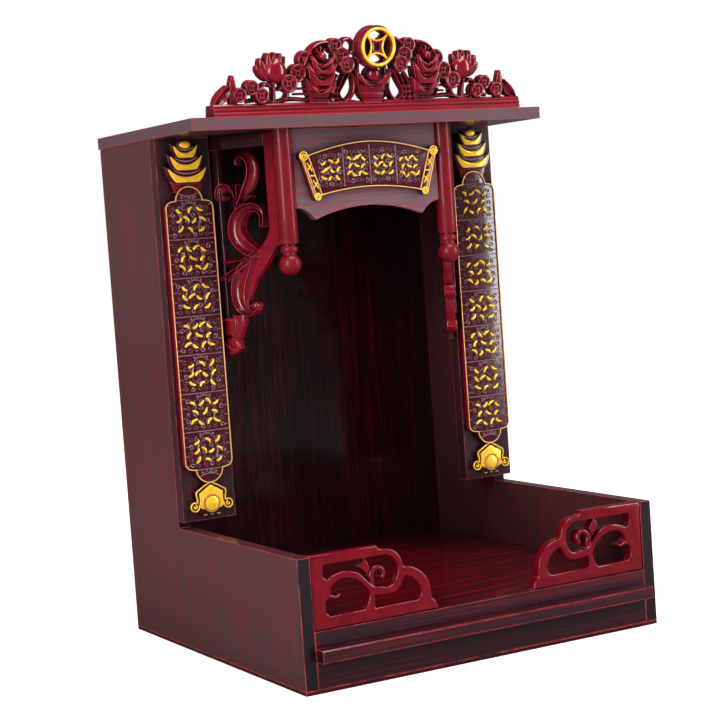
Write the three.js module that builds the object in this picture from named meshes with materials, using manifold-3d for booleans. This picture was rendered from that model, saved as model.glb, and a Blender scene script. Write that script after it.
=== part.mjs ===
// Household altar cabinet: lacquered boards around an open niche, with a tray in front, a
// canopy roof carried past two hanging columns, carved brackets and frets, a leaning crest,
// and raised plaques. Millimetres, +Z up, front towards -Y, origin under the middle.
import * as THREE from 'three';
import { mergeVertices } from 'three/addons/utils/BufferGeometryUtils.js';
import Module from 'manifold-3d';

// Cabinet body. Depths are counted back from the front edge of the tray.
const CABINET_WIDTH = 380;
const CABINET_DEPTH = 375;
const BODY_HEIGHT = 494.5;
const SIDE_THICK = 12;
const BASE_THICK = 3.5;
const FLOOR_TOP = 54;
const FLOOR_THICK = 12;
const APRON_THICK = 12;
const TRAY_HEIGHT = 119;
const BACK_THICK = 9;
const GLUE_GAP = 0.3;
const SHORTEST_STEP = 0.2;

// Strip along the apron.
const STRIP_PROUD = 12.5;
const STRIP_HEIGHT = 11.5;
const STRIP_FOOT = 28;
const STRIP_EASE = 1;

// Roof board.
const ROOF_OVERHANG = 1.7;
const ROOF_THICK = 11.5;
const ROOF_FRONT = 142.2;

// Boards that carry the tall plaques, in front of the upper side panels.
const POST_WIDTH = 55.5;
const POST_THICK = 13;
const POST_FACE = 234.5;
const POST_FOOT = 126;

// Hanging columns.
const COLUMN_X = 89.1;
const COLUMN_Y = 168;
const COLUMN_RADIUS = 9.5;
const SHAFT_LENGTH = 108;
const NECK_LENGTH = 10.5;
const RING_RADIUS = 8.4;
const NECK_RADIUS = 6.4;
const BALL_RADIUS = 10.75;
const COLUMN_SIDES = 12;
const BALL_RINGS = 4;

// Arched board between the columns.
const HEADER_FACE = 165;
const HEADER_THICK = 9;
const HEADER_DROP = 86.5;
const CUSP_X = 59.4;
const ARCH_RISE = 11;
const SHOULDER_RISE = 12;

// Plaques: thickness of the plate and height of the relief on it.
const PLAQUE_THICK = 6.5;
const RELIEF = 1.2;
const BORDER = 1.6;
const STROKE_WIDTH = 2.6;
const STROKES = 4;
const CROWN = 1.3;
const INGOT_DIP = 0.58;

// Tall plaque.
const TALL_HALF = 25;
const TALL_CELLS = 7;
const TALL_FOOT = 175.6;
const TALL_DROP = 59.9;
const TALL_ARCH = 14.4;
const SHOULDER_DROP = 8;

// Fan plaque over the arch.
const FAN_HALF_TOP = 72.3;
const FAN_HALF_FOOT = 59.9;
const FAN_DROP = 65.5;
const FAN_HEIGHT = 40;
const FAN_BOW_TOP = 11;
const FAN_BOW_FOOT = 7;
const FAN_ROLL = 4.7;
const FAN_STRIP = 7.5;

// Brackets between columns and post boards.
const BRACKET_THICK = 12;
const BRACKET_DROP = 220;
const BRACKET_LAND = 2;

// Frets in the front corners of the tray.
const FRET_WIDTH = 126.6;
const FRET_HEIGHT = 65.5;
const FRET_THICK = 10;
const FRET_SETBACK = 0.4;

// Crest on the roof.
const CREST_WIDTH = 336;
const CREST_RISE = 72;
const CREST_BASE_HEIGHT = 11.3;
const CREST_BASE_DEPTH = 21;
const CREST_LEAN = 7.5;
const COIN_SIDES = 16;
const COIN_DISH = 1.8;
const CARVING_BACK = 9;

const wasm = await Module();
wasm.setup();

const lacqueredBoard = new THREE.MeshStandardMaterial({ color: 0x2e161b, roughness: 0.16, metalness: 0 });
const carvedLacquer = new THREE.MeshStandardMaterial({ color: 0x8c1224, roughness: 0.2, metalness: 0 });
const plaqueLacquer = new THREE.MeshStandardMaterial({ color: 0x4a141d, roughness: 0.28, metalness: 0 });

// Points and shapes in a front plane: x to the right, y up.
const at = (x, y) => new THREE.Vector2(x, y);
const degrees = (angle) => THREE.MathUtils.degToRad(angle);

function arc(cx, cy, radius, from, to, steps) {
  return Array.from({ length: steps + 1 }, (_, i) => {
    const angle = degrees(from + (to - from) * i / steps);
    return at(cx + radius * Math.cos(angle), cy + radius * Math.sin(angle));
  });
}

function curl(cx, cy, fromRadius, toRadius, from, to, steps) {
  return Array.from({ length: steps + 1 }, (_, i) => {
    const share = i / steps;
    const angle = degrees(from + (to - from) * share);
    const radius = fromRadius + (toRadius - fromRadius) * share;
    return at(cx + radius * Math.cos(angle), cy + radius * Math.sin(angle));
  });
}

const flow = (points, steps) => new THREE.SplineCurve(points).getSpacedPoints(steps);
const bend = (a, b, c, steps) => new THREE.QuadraticBezierCurve(a, b, c).getPoints(steps);
const flipped = (points) => points.map((p) => at(-p.x, p.y)).reverse();
const bothSides = (rightHalf) => [...rightHalf, ...flipped(rightHalf)];

function withoutRepeats(points) {
  return points.filter((p, i) => p.distanceTo(points[(i + 1) % points.length]) > SHORTEST_STEP);
}

function inset(points, distance) {
  const clean = withoutRepeats(points);
  const turn = THREE.ShapeUtils.area(clean) > 0 ? 1 : -1;
  return clean.map((p, i) => {
    const before = clean[(i + clean.length - 1) % clean.length];
    const after = clean[(i + 1) % clean.length];
    const a = p.clone().sub(before).normalize();
    const b = after.clone().sub(p).normalize();
    const normal = at(-(a.y + b.y), a.x + b.x).normalize();
    const reach = distance / Math.max(0.5, normal.dot(at(-a.y, a.x)));
    return p.clone().addScaledVector(normal, turn * reach);
  });
}

// Solids: every one is built standing, with its back at y = 0 and its front towards -Y.
function closedGeometry(vertices, triangles) {
  let volume = 0;
  for (const [i, j, k] of triangles) {
    volume += vertices[i].dot(vertices[j].clone().cross(vertices[k]));
  }
  const order = volume > 0 ? triangles : triangles.map(([i, j, k]) => [i, k, j]);
  const geometry = new THREE.BufferGeometry();
  const numbers = vertices.flatMap((v) => v.toArray());
  geometry.setAttribute('position', new THREE.Float32BufferAttribute(numbers, 3));
  geometry.setIndex(order.flat());
  return geometry;
}

function toSolid(geometry) {
  const plain = geometry.clone();
  plain.deleteAttribute('normal');
  plain.deleteAttribute('uv');
  const merged = mergeVertices(plain, 1e-4);
  return new wasm.Manifold(new wasm.Mesh({
    numProp: 3,
    vertProperties: new Float32Array(merged.attributes.position.array),
    triVerts: new Uint32Array(merged.index.array),
  }));
}

function toGeometry(solid) {
  const mesh = solid.getMesh();
  const geometry = new THREE.BufferGeometry();
  geometry.setAttribute('position', new THREE.BufferAttribute(new Float32Array(mesh.vertProperties), 3));
  geometry.setIndex(new THREE.BufferAttribute(new Uint32Array(mesh.triVerts), 1));
  return geometry;
}

const joined = (solids) => solids.reduce((whole, next) => whole.add(next));
const mirroredX = (solid) => solid.mirror([1, 0, 0]);

function slab(points, thickness, back = 0, holes = []) {
  const shape = new THREE.Shape(withoutRepeats(points));
  shape.holes = holes.map((hole) => new THREE.Path(withoutRepeats(hole)));
  const geometry = new THREE.ExtrudeGeometry(shape, { depth: thickness, bevelEnabled: false });
  geometry.rotateX(Math.PI / 2);
  geometry.translate(0, -back, 0);
  return toSolid(geometry);
}

// A carved strap along a line: square at the back, ridged or eased towards the front.
const RIDGED = [[-1, 0], [1, 0], [1, 0.6], [0, 1], [-1, 0.6]];
const EASED = [[-1, 0], [1, 0], [0.7, 1], [-0.7, 1]];

function strap(line, widths, thickness, section = RIDGED) {
  const vertices = [];
  line.forEach((p, i) => {
    const before = line[Math.max(i - 1, 0)];
    const after = line[Math.min(i + 1, line.length - 1)];
    const along = after.clone().sub(before).normalize();
    const share = i / (line.length - 1) * (widths.length - 1);
    const low = Math.min(Math.floor(share), widths.length - 2);
    const half = THREE.MathUtils.lerp(widths[low], widths[low + 1], share - low) / 2;
    for (const [side, out] of section) {
      const x = p.x - along.y * side * half;
      const z = p.y + along.x * side * half;
      vertices.push(new THREE.Vector3(x, -out * thickness, z));
    }
  });
  const around = section.length;
  const triangles = [];
  for (let i = 0; i + 1 < line.length; i += 1) {
    for (let k = 0; k < around; k += 1) {
      const a = i * around + k;
      const b = i * around + (k + 1) % around;
      triangles.push([a, b, b + around], [a, b + around, a + around]);
    }
  }
  const last = (line.length - 1) * around;
  for (let k = 1; k + 1 < around; k += 1) {
    triangles.push([0, k + 1, k], [last, last + k, last + k + 1]);
  }
  return toSolid(closedGeometry(vertices, triangles));
}

// A turned form whose axis points at the viewer. The profile holds radius and height pairs.
function turnedFront(cx, cy, profile, sides, back = 0) {
  const geometry = new THREE.LatheGeometry(profile.map(([r, h]) => at(r, h)), sides);
  geometry.rotateX(Math.PI);
  geometry.translate(cx, -back, cy);
  return toSolid(geometry);
}

function turnedUp(profile, sides) {
  const geometry = new THREE.LatheGeometry(profile.map(([r, h]) => at(r, h)), sides);
  geometry.rotateX(Math.PI / 2);
  return toSolid(geometry);
}

function moved(solid, x, y, z) {
  return solid.translate([x, y, z]);
}

// One mesh of the cabinet.
const cabinet = new THREE.Group();
cabinet.position.y = -(CABINET_DEPTH - STRIP_PROUD) / 2;

function addMesh(name, geometry, material, parent = cabinet) {
  const mesh = new THREE.Mesh(geometry, material);
  mesh.name = name;
  parent.add(mesh);
  return mesh;
}

function addBoard(name, [x0, x1], [y0, y1], [z0, z1]) {
  const mesh = addMesh(name, new THREE.BoxGeometry(x1 - x0, y1 - y0, z1 - z0), lacqueredBoard);
  mesh.position.set((x0 + x1) / 2, (y0 + y1) / 2, (z0 + z1) / 2);
}

// The carving is drawn for these sizes and stretches with its own piece.
const drawn = {
  crestHalf: 168, crestRise: 72, bracketReach: 84.7, bracketDrop: 220, fretWidth: 126.6, fretHeight: 65.5,
};

const halfWidth = CABINET_WIDTH / 2;
const innerHalf = halfWidth - SIDE_THICK;
const fittedHalf = innerHalf - GLUE_GAP;
const upperFront = POST_FACE + POST_THICK + GLUE_GAP;
const postInner = halfWidth - POST_WIDTH;
const bodyFoot = BASE_THICK + GLUE_GAP;
const underRoof = BODY_HEIGHT - GLUE_GAP;
const backFace = CABINET_DEPTH - BACK_THICK;
const tallTop = BODY_HEIGHT - TALL_DROP;
const tallCell = (tallTop - TALL_FOOT) / TALL_CELLS;

// A section in the y-z plane that runs across the cabinet.
function acrossSection(points, x0, x1) {
  const shape = new THREE.Shape(points);
  const geometry = new THREE.ExtrudeGeometry(shape, { depth: x1 - x0, bevelEnabled: false });
  const turn = new THREE.Matrix4().makeBasis(
    new THREE.Vector3(0, 1, 0), new THREE.Vector3(0, 0, 1), new THREE.Vector3(1, 0, 0));
  geometry.applyMatrix4(turn);
  geometry.translate(x0, 0, 0);
  return geometry;
}

function addBoards() {
  addBoard('base_panel', [-halfWidth, halfWidth], [0, CABINET_DEPTH], [0, BASE_THICK]);
  const sideOutline = [
    at(0, bodyFoot), at(CABINET_DEPTH, bodyFoot), at(CABINET_DEPTH, underRoof),
    at(upperFront, underRoof), at(upperFront, TRAY_HEIGHT), at(0, TRAY_HEIGHT),
  ];
  addMesh('left_side_panel', acrossSection(sideOutline, -halfWidth, -innerHalf), lacqueredBoard);
  addMesh('right_side_panel', acrossSection(sideOutline, innerHalf, halfWidth), lacqueredBoard);
  addBoard('back_panel', [-fittedHalf, fittedHalf], [backFace, CABINET_DEPTH], [bodyFoot, underRoof]);
  const floorBack = backFace - GLUE_GAP;
  addBoard('floor_panel', [-fittedHalf, fittedHalf], [APRON_THICK + GLUE_GAP, floorBack],
    [FLOOR_TOP - FLOOR_THICK, FLOOR_TOP]);
  addBoard('front_apron', [-fittedHalf, fittedHalf], [0, APRON_THICK], [bodyFoot, FLOOR_TOP]);
  const roofHalf = halfWidth + ROOF_OVERHANG;
  addBoard('roof_panel', [-roofHalf, roofHalf], [ROOF_FRONT, CABINET_DEPTH],
    [BODY_HEIGHT, BODY_HEIGHT + ROOF_THICK]);
  addBoard('left_post_board', [-halfWidth, -postInner], [POST_FACE, POST_FACE + POST_THICK],
    [POST_FOOT, underRoof]);
  addBoard('right_post_board', [postInner, halfWidth], [POST_FACE, POST_FACE + POST_THICK],
    [POST_FOOT, underRoof]);
}

function addStrip() {
  const front = -STRIP_PROUD;
  const top = STRIP_FOOT + STRIP_HEIGHT;
  const section = [
    at(-GLUE_GAP, STRIP_FOOT), at(-GLUE_GAP, top), at(front + STRIP_EASE, top), at(front, top - STRIP_EASE),
    at(front, STRIP_FOOT + STRIP_EASE), at(front + STRIP_EASE, STRIP_FOOT),
  ];
  addMesh('front_moulding', acrossSection(section, -fittedHalf, fittedHalf), lacqueredBoard);
}

// Arched board: a wide middle arch between two cusps, with a small shoulder at each column.
function addHeader() {
  const half = COLUMN_X - COLUMN_RADIUS - GLUE_GAP;
  const cusp = -HEADER_DROP;
  const radius = (CUSP_X ** 2 + ARCH_RISE ** 2) / (2 * ARCH_RISE);
  const reach = THREE.MathUtils.radToDeg(Math.asin(CUSP_X / radius));
  const middle = arc(0, cusp + ARCH_RISE - radius, radius, 90 - reach, 90 + reach, 14);
  const shoulder = bend(at(half, cusp + SHOULDER_RISE), at((half + CUSP_X) / 2, cusp + SHOULDER_RISE),
    at(CUSP_X, cusp), 6);
  const outline = [at(-half, 0), at(half, 0), ...shoulder, ...middle, ...flipped(shoulder)];
  const mesh = addMesh('header_board', toGeometry(slab(outline, HEADER_THICK)), lacqueredBoard);
  mesh.position.set(0, HEADER_FACE + HEADER_THICK, underRoof);
}

function addColumns() {
  const shaftEnd = -SHAFT_LENGTH;
  const neckEnd = shaftEnd - NECK_LENGTH;
  const ringMid = shaftEnd - NECK_LENGTH / 2;
  const ringHalf = NECK_LENGTH / 4;
  const neckAngle = Math.acos(NECK_RADIUS / BALL_RADIUS);
  const ballCentre = neckEnd - BALL_RADIUS * Math.sin(neckAngle);
  const ball = Array.from({ length: BALL_RINGS + 1 }, (_, i) => {
    const angle = -Math.PI / 2 + (neckAngle + Math.PI / 2) * i / BALL_RINGS;
    return [BALL_RADIUS * Math.cos(angle), ballCentre + BALL_RADIUS * Math.sin(angle)];
  });
  ball[0][0] = 0;
  const profile = [
    ...ball,
    [NECK_RADIUS, ringMid - ringHalf], [RING_RADIUS, ringMid - ringHalf / 2],
    [RING_RADIUS, ringMid + ringHalf / 2], [NECK_RADIUS, ringMid + ringHalf],
    [NECK_RADIUS, shaftEnd], [COLUMN_RADIUS - 0.8, shaftEnd],
    [COLUMN_RADIUS, shaftEnd + 0.8], [COLUMN_RADIUS, 0], [0, 0],
  ];
  for (const [name, side] of [['left_column', -1], ['right_column', 1]]) {
    const mesh = addMesh(name, toGeometry(turnedUp(profile, COLUMN_SIDES)), carvedLacquer);
    mesh.position.set(side * COLUMN_X, COLUMN_Y, underRoof);
  }
}

// A plate with a raised border around its field.
function borderedPlate(outline) {
  const field = slab(inset(outline, BORDER), RELIEF * 2, PLAQUE_THICK);
  return slab(outline, PLAQUE_THICK + RELIEF).subtract(field);
}

// Brush-like strokes in rows, worked out from the cell's number. They spell nothing.
function strokeCluster(cx, cy, width, height, seed) {
  const leans = [12, 68, -38, 84, -8, 52];
  return Array.from({ length: STROKES }, (_, i) => {
    const side = i % 2 === 0 ? -1 : 1;
    const row = Math.floor(i / 2) / (STROKES / 2 - 1);
    const lean = degrees(leans[(i * 2 + seed) % leans.length]);
    const length = height * (0.34 + 0.07 * ((i + seed * 2) % 3));
    const x = cx + side * width * (0.2 + 0.03 * ((i + seed) % 3));
    const y = cy + height * (0.3 - 0.6 * row + side * 0.05);
    const middle = at(x, y);
    const half = at(Math.cos(lean), Math.sin(lean)).multiplyScalar(length / 2);
    return ridge(middle.clone().sub(half), middle.clone().add(half));
  });
}

// One stroke: a low ridge that rises from the field of a plaque.
function ridge(start, end) {
  const along = end.clone().sub(start).normalize();
  const over = at(-along.y, along.x).multiplyScalar(STROKE_WIDTH / 2);
  const foot = PLAQUE_THICK - RELIEF;
  const crown = PLAQUE_THICK + RELIEF * CROWN;
  const corners = [
    start.clone().sub(over), end.clone().sub(over), end.clone().add(over), start.clone().add(over),
  ];
  const crowns = [
    start.clone().addScaledVector(along, STROKE_WIDTH), end.clone().addScaledVector(along, -STROKE_WIDTH / 2),
  ];
  const vertices = [
    ...corners.map((p) => new THREE.Vector3(p.x, -foot, p.y)),
    ...crowns.map((p) => new THREE.Vector3(p.x, -crown, p.y)),
  ];
  const triangles = [[0, 2, 1], [0, 3, 2], [0, 1, 5], [0, 5, 4], [1, 2, 5], [2, 3, 4], [2, 4, 5], [3, 0, 4]];
  return toSolid(closedGeometry(vertices, triangles));
}

// Boat-shaped ingot seen from the front: a dipped rim between two raised tips, over a full hull.
function ingotOutline(half, tip, foot, dip = INGOT_DIP) {
  const depth = tip - foot;
  const rim = bend(at(half, tip), at(0, tip - depth * dip * 2), at(-half, tip), 4);
  const hull = bend(at(-half, tip), at(-half * 0.82, foot + depth * 0.12), at(-half * 0.6, foot), 2);
  return [...rim, ...hull.slice(1), ...flipped(hull).slice(0, -1)];
}

function tallPlaque(firstSeed) {
  const top = tallTop;
  const cap = top + TALL_ARCH - 1;
  const shoulder = bend(at(TALL_ARCH, top), at(TALL_HALF, top), at(TALL_HALF, top - SHOULDER_DROP), 2);
  const lowShoulder = bend(
    at(TALL_HALF, TALL_FOOT + SHOULDER_DROP), at(TALL_HALF, TALL_FOOT), at(TALL_ARCH, TALL_FOOT), 2);
  const topArch = arc(0, top - 1, TALL_ARCH, 80, 4, 3);
  const footArch = arc(0, TALL_FOOT + 1, TALL_ARCH, -4, -80, 3);
  const outline = bothSides([...topArch, ...shoulder, ...lowShoulder, ...footArch]);
  const footTip = TALL_FOOT + 1 - TALL_ARCH;
  const solids = [borderedPlate(outline)];
  for (let i = 1; i < TALL_CELLS; i += 1) {
    const z = TALL_FOOT + tallCell * i;
    const reach = TALL_HALF - BORDER / 2;
    const rib = [at(-reach, z - 0.4), at(reach, z - 0.4), at(reach, z + 0.4), at(-reach, z + 0.4)];
    solids.push(slab(rib, PLAQUE_THICK + RELIEF / 2));
  }
  for (let i = 0; i < TALL_CELLS; i += 1) {
    const middle = TALL_FOOT + tallCell * (i + 0.5);
    solids.push(...strokeCluster(0, middle, TALL_HALF * 1.2, tallCell * 0.72, i + firstSeed));
  }
  // Three stacked ingots and a ball above the arch, on a tapering stem.
  const stem = [at(-10, top), at(10, top), at(7.5, cap + 43), at(-7.5, cap + 43)];
  const keel = [at(-13.5, top + 8), at(13.5, top + 8), at(19.4, cap + 12), at(-19.4, cap + 12)];
  solids.push(slab(stem, PLAQUE_THICK - 1.5));
  solids.push(slab(keel, PLAQUE_THICK - 0.6));
  const ingots = [[21.5, 17.8, 3.4], [18.2, 29.5, 15.2], [14.1, 39.5, 27]];
  ingots.forEach(([half, tip, foot], i) => {
    solids.push(slab(ingotOutline(half, cap + tip, cap + foot), PLAQUE_THICK + RELIEF + 0.3 * (2 - i)));
  });
  const ball = [[0, 0], [5.6, 0], [5.6, PLAQUE_THICK + RELIEF], [0, PLAQUE_THICK + RELIEF * 2]];
  solids.push(turnedFront(0, cap + 39, ball, 7));
  // Pendant under the foot: an eaved field over a round disc, with a curl at each side.
  const eaves = bothSides([
    at(0, footTip + 2), at(16.5, footTip - 7.5), at(15, footTip - 15),
    at(17.5, footTip - 26), at(9, footTip - 30),
  ]);
  solids.push(slab(eaves, PLAQUE_THICK - 0.6));
  const curlProfile = [[0, 0], [4.9, 0], [4.9, PLAQUE_THICK + RELIEF], [0, PLAQUE_THICK + RELIEF]];
  const discTop = PLAQUE_THICK + RELIEF;
  const discProfile = [[0, 0], [8, 0], [8, PLAQUE_THICK], [6.6, discTop], [0, discTop]];
  solids.push(turnedFront(0, footTip - 20, discProfile, 8));
  for (const side of [-1, 1]) {
    solids.push(turnedFront(side * 17.6, footTip - 22, curlProfile, 6));
  }
  return joined(solids);
}

function addTallPlaques() {
  const centre = halfWidth - POST_WIDTH / 2;
  for (const [name, side] of [['left_couplet_plaque', -1], ['right_couplet_plaque', 1]]) {
    const mesh = addMesh(name, toGeometry(tallPlaque(side > 0 ? 3 : 0)), plaqueLacquer);
    mesh.position.set(side * centre, POST_FACE - GLUE_GAP, 0);
  }
}

// Fan-shaped plaque: a bowed band between two rolled ends.
function addFanPlaque() {
  const foot = 0;
  const top = FAN_HEIGHT;
  const rollTop = at(FAN_HALF_TOP, top - 1);
  const rollFoot = at(FAN_HALF_FOOT, foot);
  const upper = bend(
    at(FAN_HALF_TOP - 6, top), at(FAN_HALF_TOP * 0.4, top + FAN_BOW_TOP), at(0, top + FAN_BOW_TOP), 5);
  const lower = bend(at(0, FAN_BOW_FOOT), at(FAN_HALF_FOOT * 0.5, FAN_BOW_FOOT), at(FAN_HALF_FOOT, foot), 5);
  const rightHalf = [
    ...upper.reverse(),
    rollTop.clone().add(at(3.5, 1)), rollFoot.clone().add(at(3.5, -1)),
    ...lower.reverse(),
  ];
  const outline = bothSides(rightHalf);
  const solids = [borderedPlate(outline)];
  const roll = [[0, 0], [FAN_ROLL, 0], [FAN_ROLL, PLAQUE_THICK + RELIEF * 2], [0, PLAQUE_THICK + RELIEF]];
  for (const side of [-1, 1]) {
    solids.push(turnedFront(side * rollTop.x, rollTop.y, roll, 8));
    solids.push(turnedFront(side * rollFoot.x, rollFoot.y, roll.map(([r, h]) => [r * 0.8, h]), 7));
    const inward = at(-FAN_STRIP, 0);
    const strip = [rollTop, rollFoot, rollFoot.clone().add(inward), rollTop.clone().add(inward)];
    solids.push(slab(strip.map((p) => at(side * p.x, p.y)), PLAQUE_THICK + RELIEF * 0.6));
    const band = rollTop.clone().lerp(rollFoot, 0.5);
    const bar = [
      at(band.x - FAN_STRIP, band.y - 1.2), at(band.x, band.y - 1.2),
      at(band.x, band.y + 1.2), at(band.x - FAN_STRIP, band.y + 1.2),
    ];
    solids.push(slab(bar.map((p) => at(side * p.x, p.y)), PLAQUE_THICK + RELIEF));
  }
  const cellWidth = (FAN_HALF_TOP + FAN_HALF_FOOT - 2 * FAN_STRIP) / 4;
  const bow = (x) => (FAN_BOW_TOP + FAN_BOW_FOOT) / 2 * (1 - (x / FAN_HALF_TOP) ** 2);
  for (const i of [-1, 0, 1]) {
    const x = cellWidth * i;
    const [low, high] = [bow(x) + 1, bow(x) + top - 2];
    const rib = [at(x - 0.5, low), at(x + 0.5, low), at(x + 0.5, high), at(x - 0.5, high)];
    solids.push(slab(rib, PLAQUE_THICK + RELIEF / 2));
  }
  for (let i = 0; i < 4; i += 1) {
    const x = cellWidth * (i - 1.5);
    solids.push(...strokeCluster(x, bow(x) + top / 2 - 1, cellWidth * 0.72, top * 0.6, i + 2));
  }
  const mesh = addMesh('banner_plaque', toGeometry(joined(solids)), plaqueLacquer);
  mesh.position.set(0, HEADER_FACE - GLUE_GAP, BODY_HEIGHT - FAN_DROP);
}

// Openwork bracket, drawn with x running from the column's axis and y down from the roof.
function bracketCarving() {
  const stile = [
    at(6.3, 0), at(19, 0), at(19, -92), at(25, -104), at(34, -112), at(47, -124), at(56, -138),
    at(60, -150), at(57, -166), at(49, -168), at(47, -152), at(40, -141), at(29, -130),
    at(16.5, -115), at(12.3, -108.5), at(6.3, -108.5),
  ];
  const frame = [at(6.3, 0), at(84, 0), at(84, -13), at(6.3, -13)];
  const outer = [at(73, 0), at(84, 0), at(84, -219), at(80, -213), at(76, -204), at(73, -180)];
  const leafBlock = (top) => [
    at(83, top), at(57, top - 1), at(56.5, top - 7), at(62, top - 12), at(83, top - 14),
  ];
  const solids = [
    slab(stile, BRACKET_THICK * 0.72),
    slab(frame, BRACKET_THICK * 0.7),
    slab(outer, BRACKET_THICK * 0.66),
    slab(leafBlock(-177), BRACKET_THICK),
    slab(leafBlock(-193), BRACKET_THICK - 0.4),
  ];
  const greatScroll = flow([
    at(32, -115.5), at(41, -111.5), at(51, -104), at(57, -94), at(55, -81), at(45, -72), at(33, -71),
    at(26, -77), at(26.5, -90),
  ], 9);
  const sprout = flow([
    at(57, -71), at(58, -60), at(61, -53), at(67, -49.5), at(72.5, -52), at(74, -58), at(70.5, -61),
  ], 6);
  const crook = flow([
    at(54, -71), at(42, -53), at(35.5, -41), at(35, -29), at(41, -20.5), at(49, -19.5), at(53.5, -25),
  ], 6);
  const tail = flow([
    at(40, -116), at(50, -129), at(57, -143), at(58.5, -156), at(55, -166), at(47, -170), at(41, -166),
  ], 6);
  const scrolls = [
    // Great C-scroll, from the brace up and over to its tip.
    [greatScroll, [10, 14, 15, 14, 12, 9, 5], 1],
    // Two sprouts that curl away above it, with a spike and a leaf.
    [sprout, [4, 6, 7.5, 7.5, 6], 0.92],
    [crook, [4, 6, 8, 7.5, 6], 0.9],
    [[at(54.5, -71), at(53.3, -47.5)], [4, 2], 0.8],
    [[at(53, -71), at(37.5, -59)], [5, 3], 0.8],
    // Three leaf blades below it.
    [[at(43, -119), at(74, -122)], [5, 6], 0.86],
    [[at(43, -120), at(79, -138)], [5, 6], 0.92],
    [[at(43, -121), at(69, -139)], [5, 8], 0.84],
    // Channel of the tail and its hooked end.
    [tail, [9, 14, 17, 17, 15, 11, 8], 1],
  ];
  for (const [line, widths, share] of scrolls) {
    solids.push(strap(line, widths, BRACKET_THICK * share));
  }
  return joined(solids);
}

// The bracket stands on the slant from the column back to the face of the post board.
function addBrackets() {
  const slantX = postInner - BRACKET_LAND - COLUMN_X;
  const slantY = POST_FACE + POST_THICK / 2 - COLUMN_Y;
  const reach = Math.hypot(slantX, slantY);
  const angle = Math.atan2(slantY, slantX);
  const carving = bracketCarving().scale([reach / drawn.bracketReach, 1, BRACKET_DROP / drawn.bracketDrop]);
  const centred = moved(carving, 0, BRACKET_THICK / 2, 0);
  const turned = centred.rotate([0, 0, THREE.MathUtils.radToDeg(angle)]);
  const placed = moved(turned, COLUMN_X, COLUMN_Y, underRoof);
  const post = new THREE.BoxGeometry(POST_WIDTH, CABINET_DEPTH, BODY_HEIGHT * 2);
  const postMiddle = postInner - GLUE_GAP + POST_WIDTH / 2;
  post.translate(postMiddle, POST_FACE - GLUE_GAP + CABINET_DEPTH / 2, BODY_HEIGHT);
  const cleared = COLUMN_RADIUS + GLUE_GAP;
  const column = new THREE.CylinderGeometry(cleared, cleared, BODY_HEIGHT, COLUMN_SIDES);
  column.rotateX(Math.PI / 2);
  column.translate(COLUMN_X, COLUMN_Y, BODY_HEIGHT);
  const right = placed.subtract(toSolid(post)).subtract(toSolid(column));
  addMesh('right_bracket', toGeometry(right), carvedLacquer);
  addMesh('left_bracket', toGeometry(mirroredX(right)), carvedLacquer);
}

// Corner fret, drawn with x from the side panel and y up from the apron.
function fretCarving() {
  const outline = [
    at(0, 0), at(drawn.fretWidth, 0),
    ...bend(at(126, 2), at(124, 9), at(119.6, 11), 3),
    ...arc(92.6, 16, 27, 0, 88, 5),
    ...arc(75.6, 44.5, 16.5, 2, 96, 5),
    at(68.5, 62.5), at(66.5, 65.5), at(0, 65.5),
  ];
  const upper = [
    ...flow([at(12.5, 46), at(16.5, 43), at(22, 46), at(34, 48), at(46, 45), at(52, 40), at(58.5, 33)], 7),
    ...flow([
      at(62, 30), at(69, 29), at(75, 27.5), at(82, 30), at(86, 37), at(86.5, 46), at(82, 53), at(75, 56),
    ], 7),
    at(14, 56), at(12.5, 53),
  ];
  const lowerLeft = [
    ...flow([
      at(19, 32), at(20, 36.5), at(28, 41), at(38, 41), at(47, 37), at(54, 30), at(57, 25), at(53, 12.5),
    ], 8),
    at(51, 11), at(17, 11), at(13, 15), at(13, 24), at(19, 29),
  ];
  const lowerRight = [
    at(62, 11), at(105, 11),
    ...flow([
      at(107.5, 12.5), at(109.5, 18), at(106, 27), at(94, 34.5), at(90, 28), at(84, 22), at(62, 22),
    ], 8),
    at(61.5, 17),
  ];
  const plate = slab(outline, FRET_THICK, 0, [upper, lowerLeft, lowerRight]);
  const hook = curl(67.5, 40, 7.5, 5.2, 215, -35, 6);
  const diamond = [at(53.8, 57), at(59.5, 47.5), at(56.8, 39.5), at(48.3, 49.5)];
  const solids = [
    plate,
    strap([at(60, 27), at(59.5, 33), ...hook], [7, 5, 4.6, 4.4, 4.6], FRET_THICK - 0.6),
    slab(diamond, FRET_THICK - 0.8),
    strap([at(13, 30), at(19, 28), at(24, 26.5), at(28, 28.5)], [7, 5, 3.4, 2], FRET_THICK - 0.8),
  ];
  return joined(solids);
}

function addFrets() {
  const stretch = [FRET_WIDTH / drawn.fretWidth, 1, FRET_HEIGHT / drawn.fretHeight];
  const left = fretCarving().scale(stretch);
  for (const [name, side] of [['left_corner_fret', -1], ['right_corner_fret', 1]]) {
    const mesh = addMesh(name, toGeometry(side < 0 ? left : mirroredX(left)), carvedLacquer);
    mesh.position.set(side * fittedHalf, FRET_SETBACK + FRET_THICK, FLOOR_TOP + GLUE_GAP);
  }
}

// Crest carving, drawn outwards from the middle and up from its base, back at y = 0.
function coin(x, y, radius, thickness) {
  const profile = [[0, 0], [radius, 0], [radius, thickness], [0, thickness - COIN_DISH]];
  return turnedFront(x, y, profile, 8);
}

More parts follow.
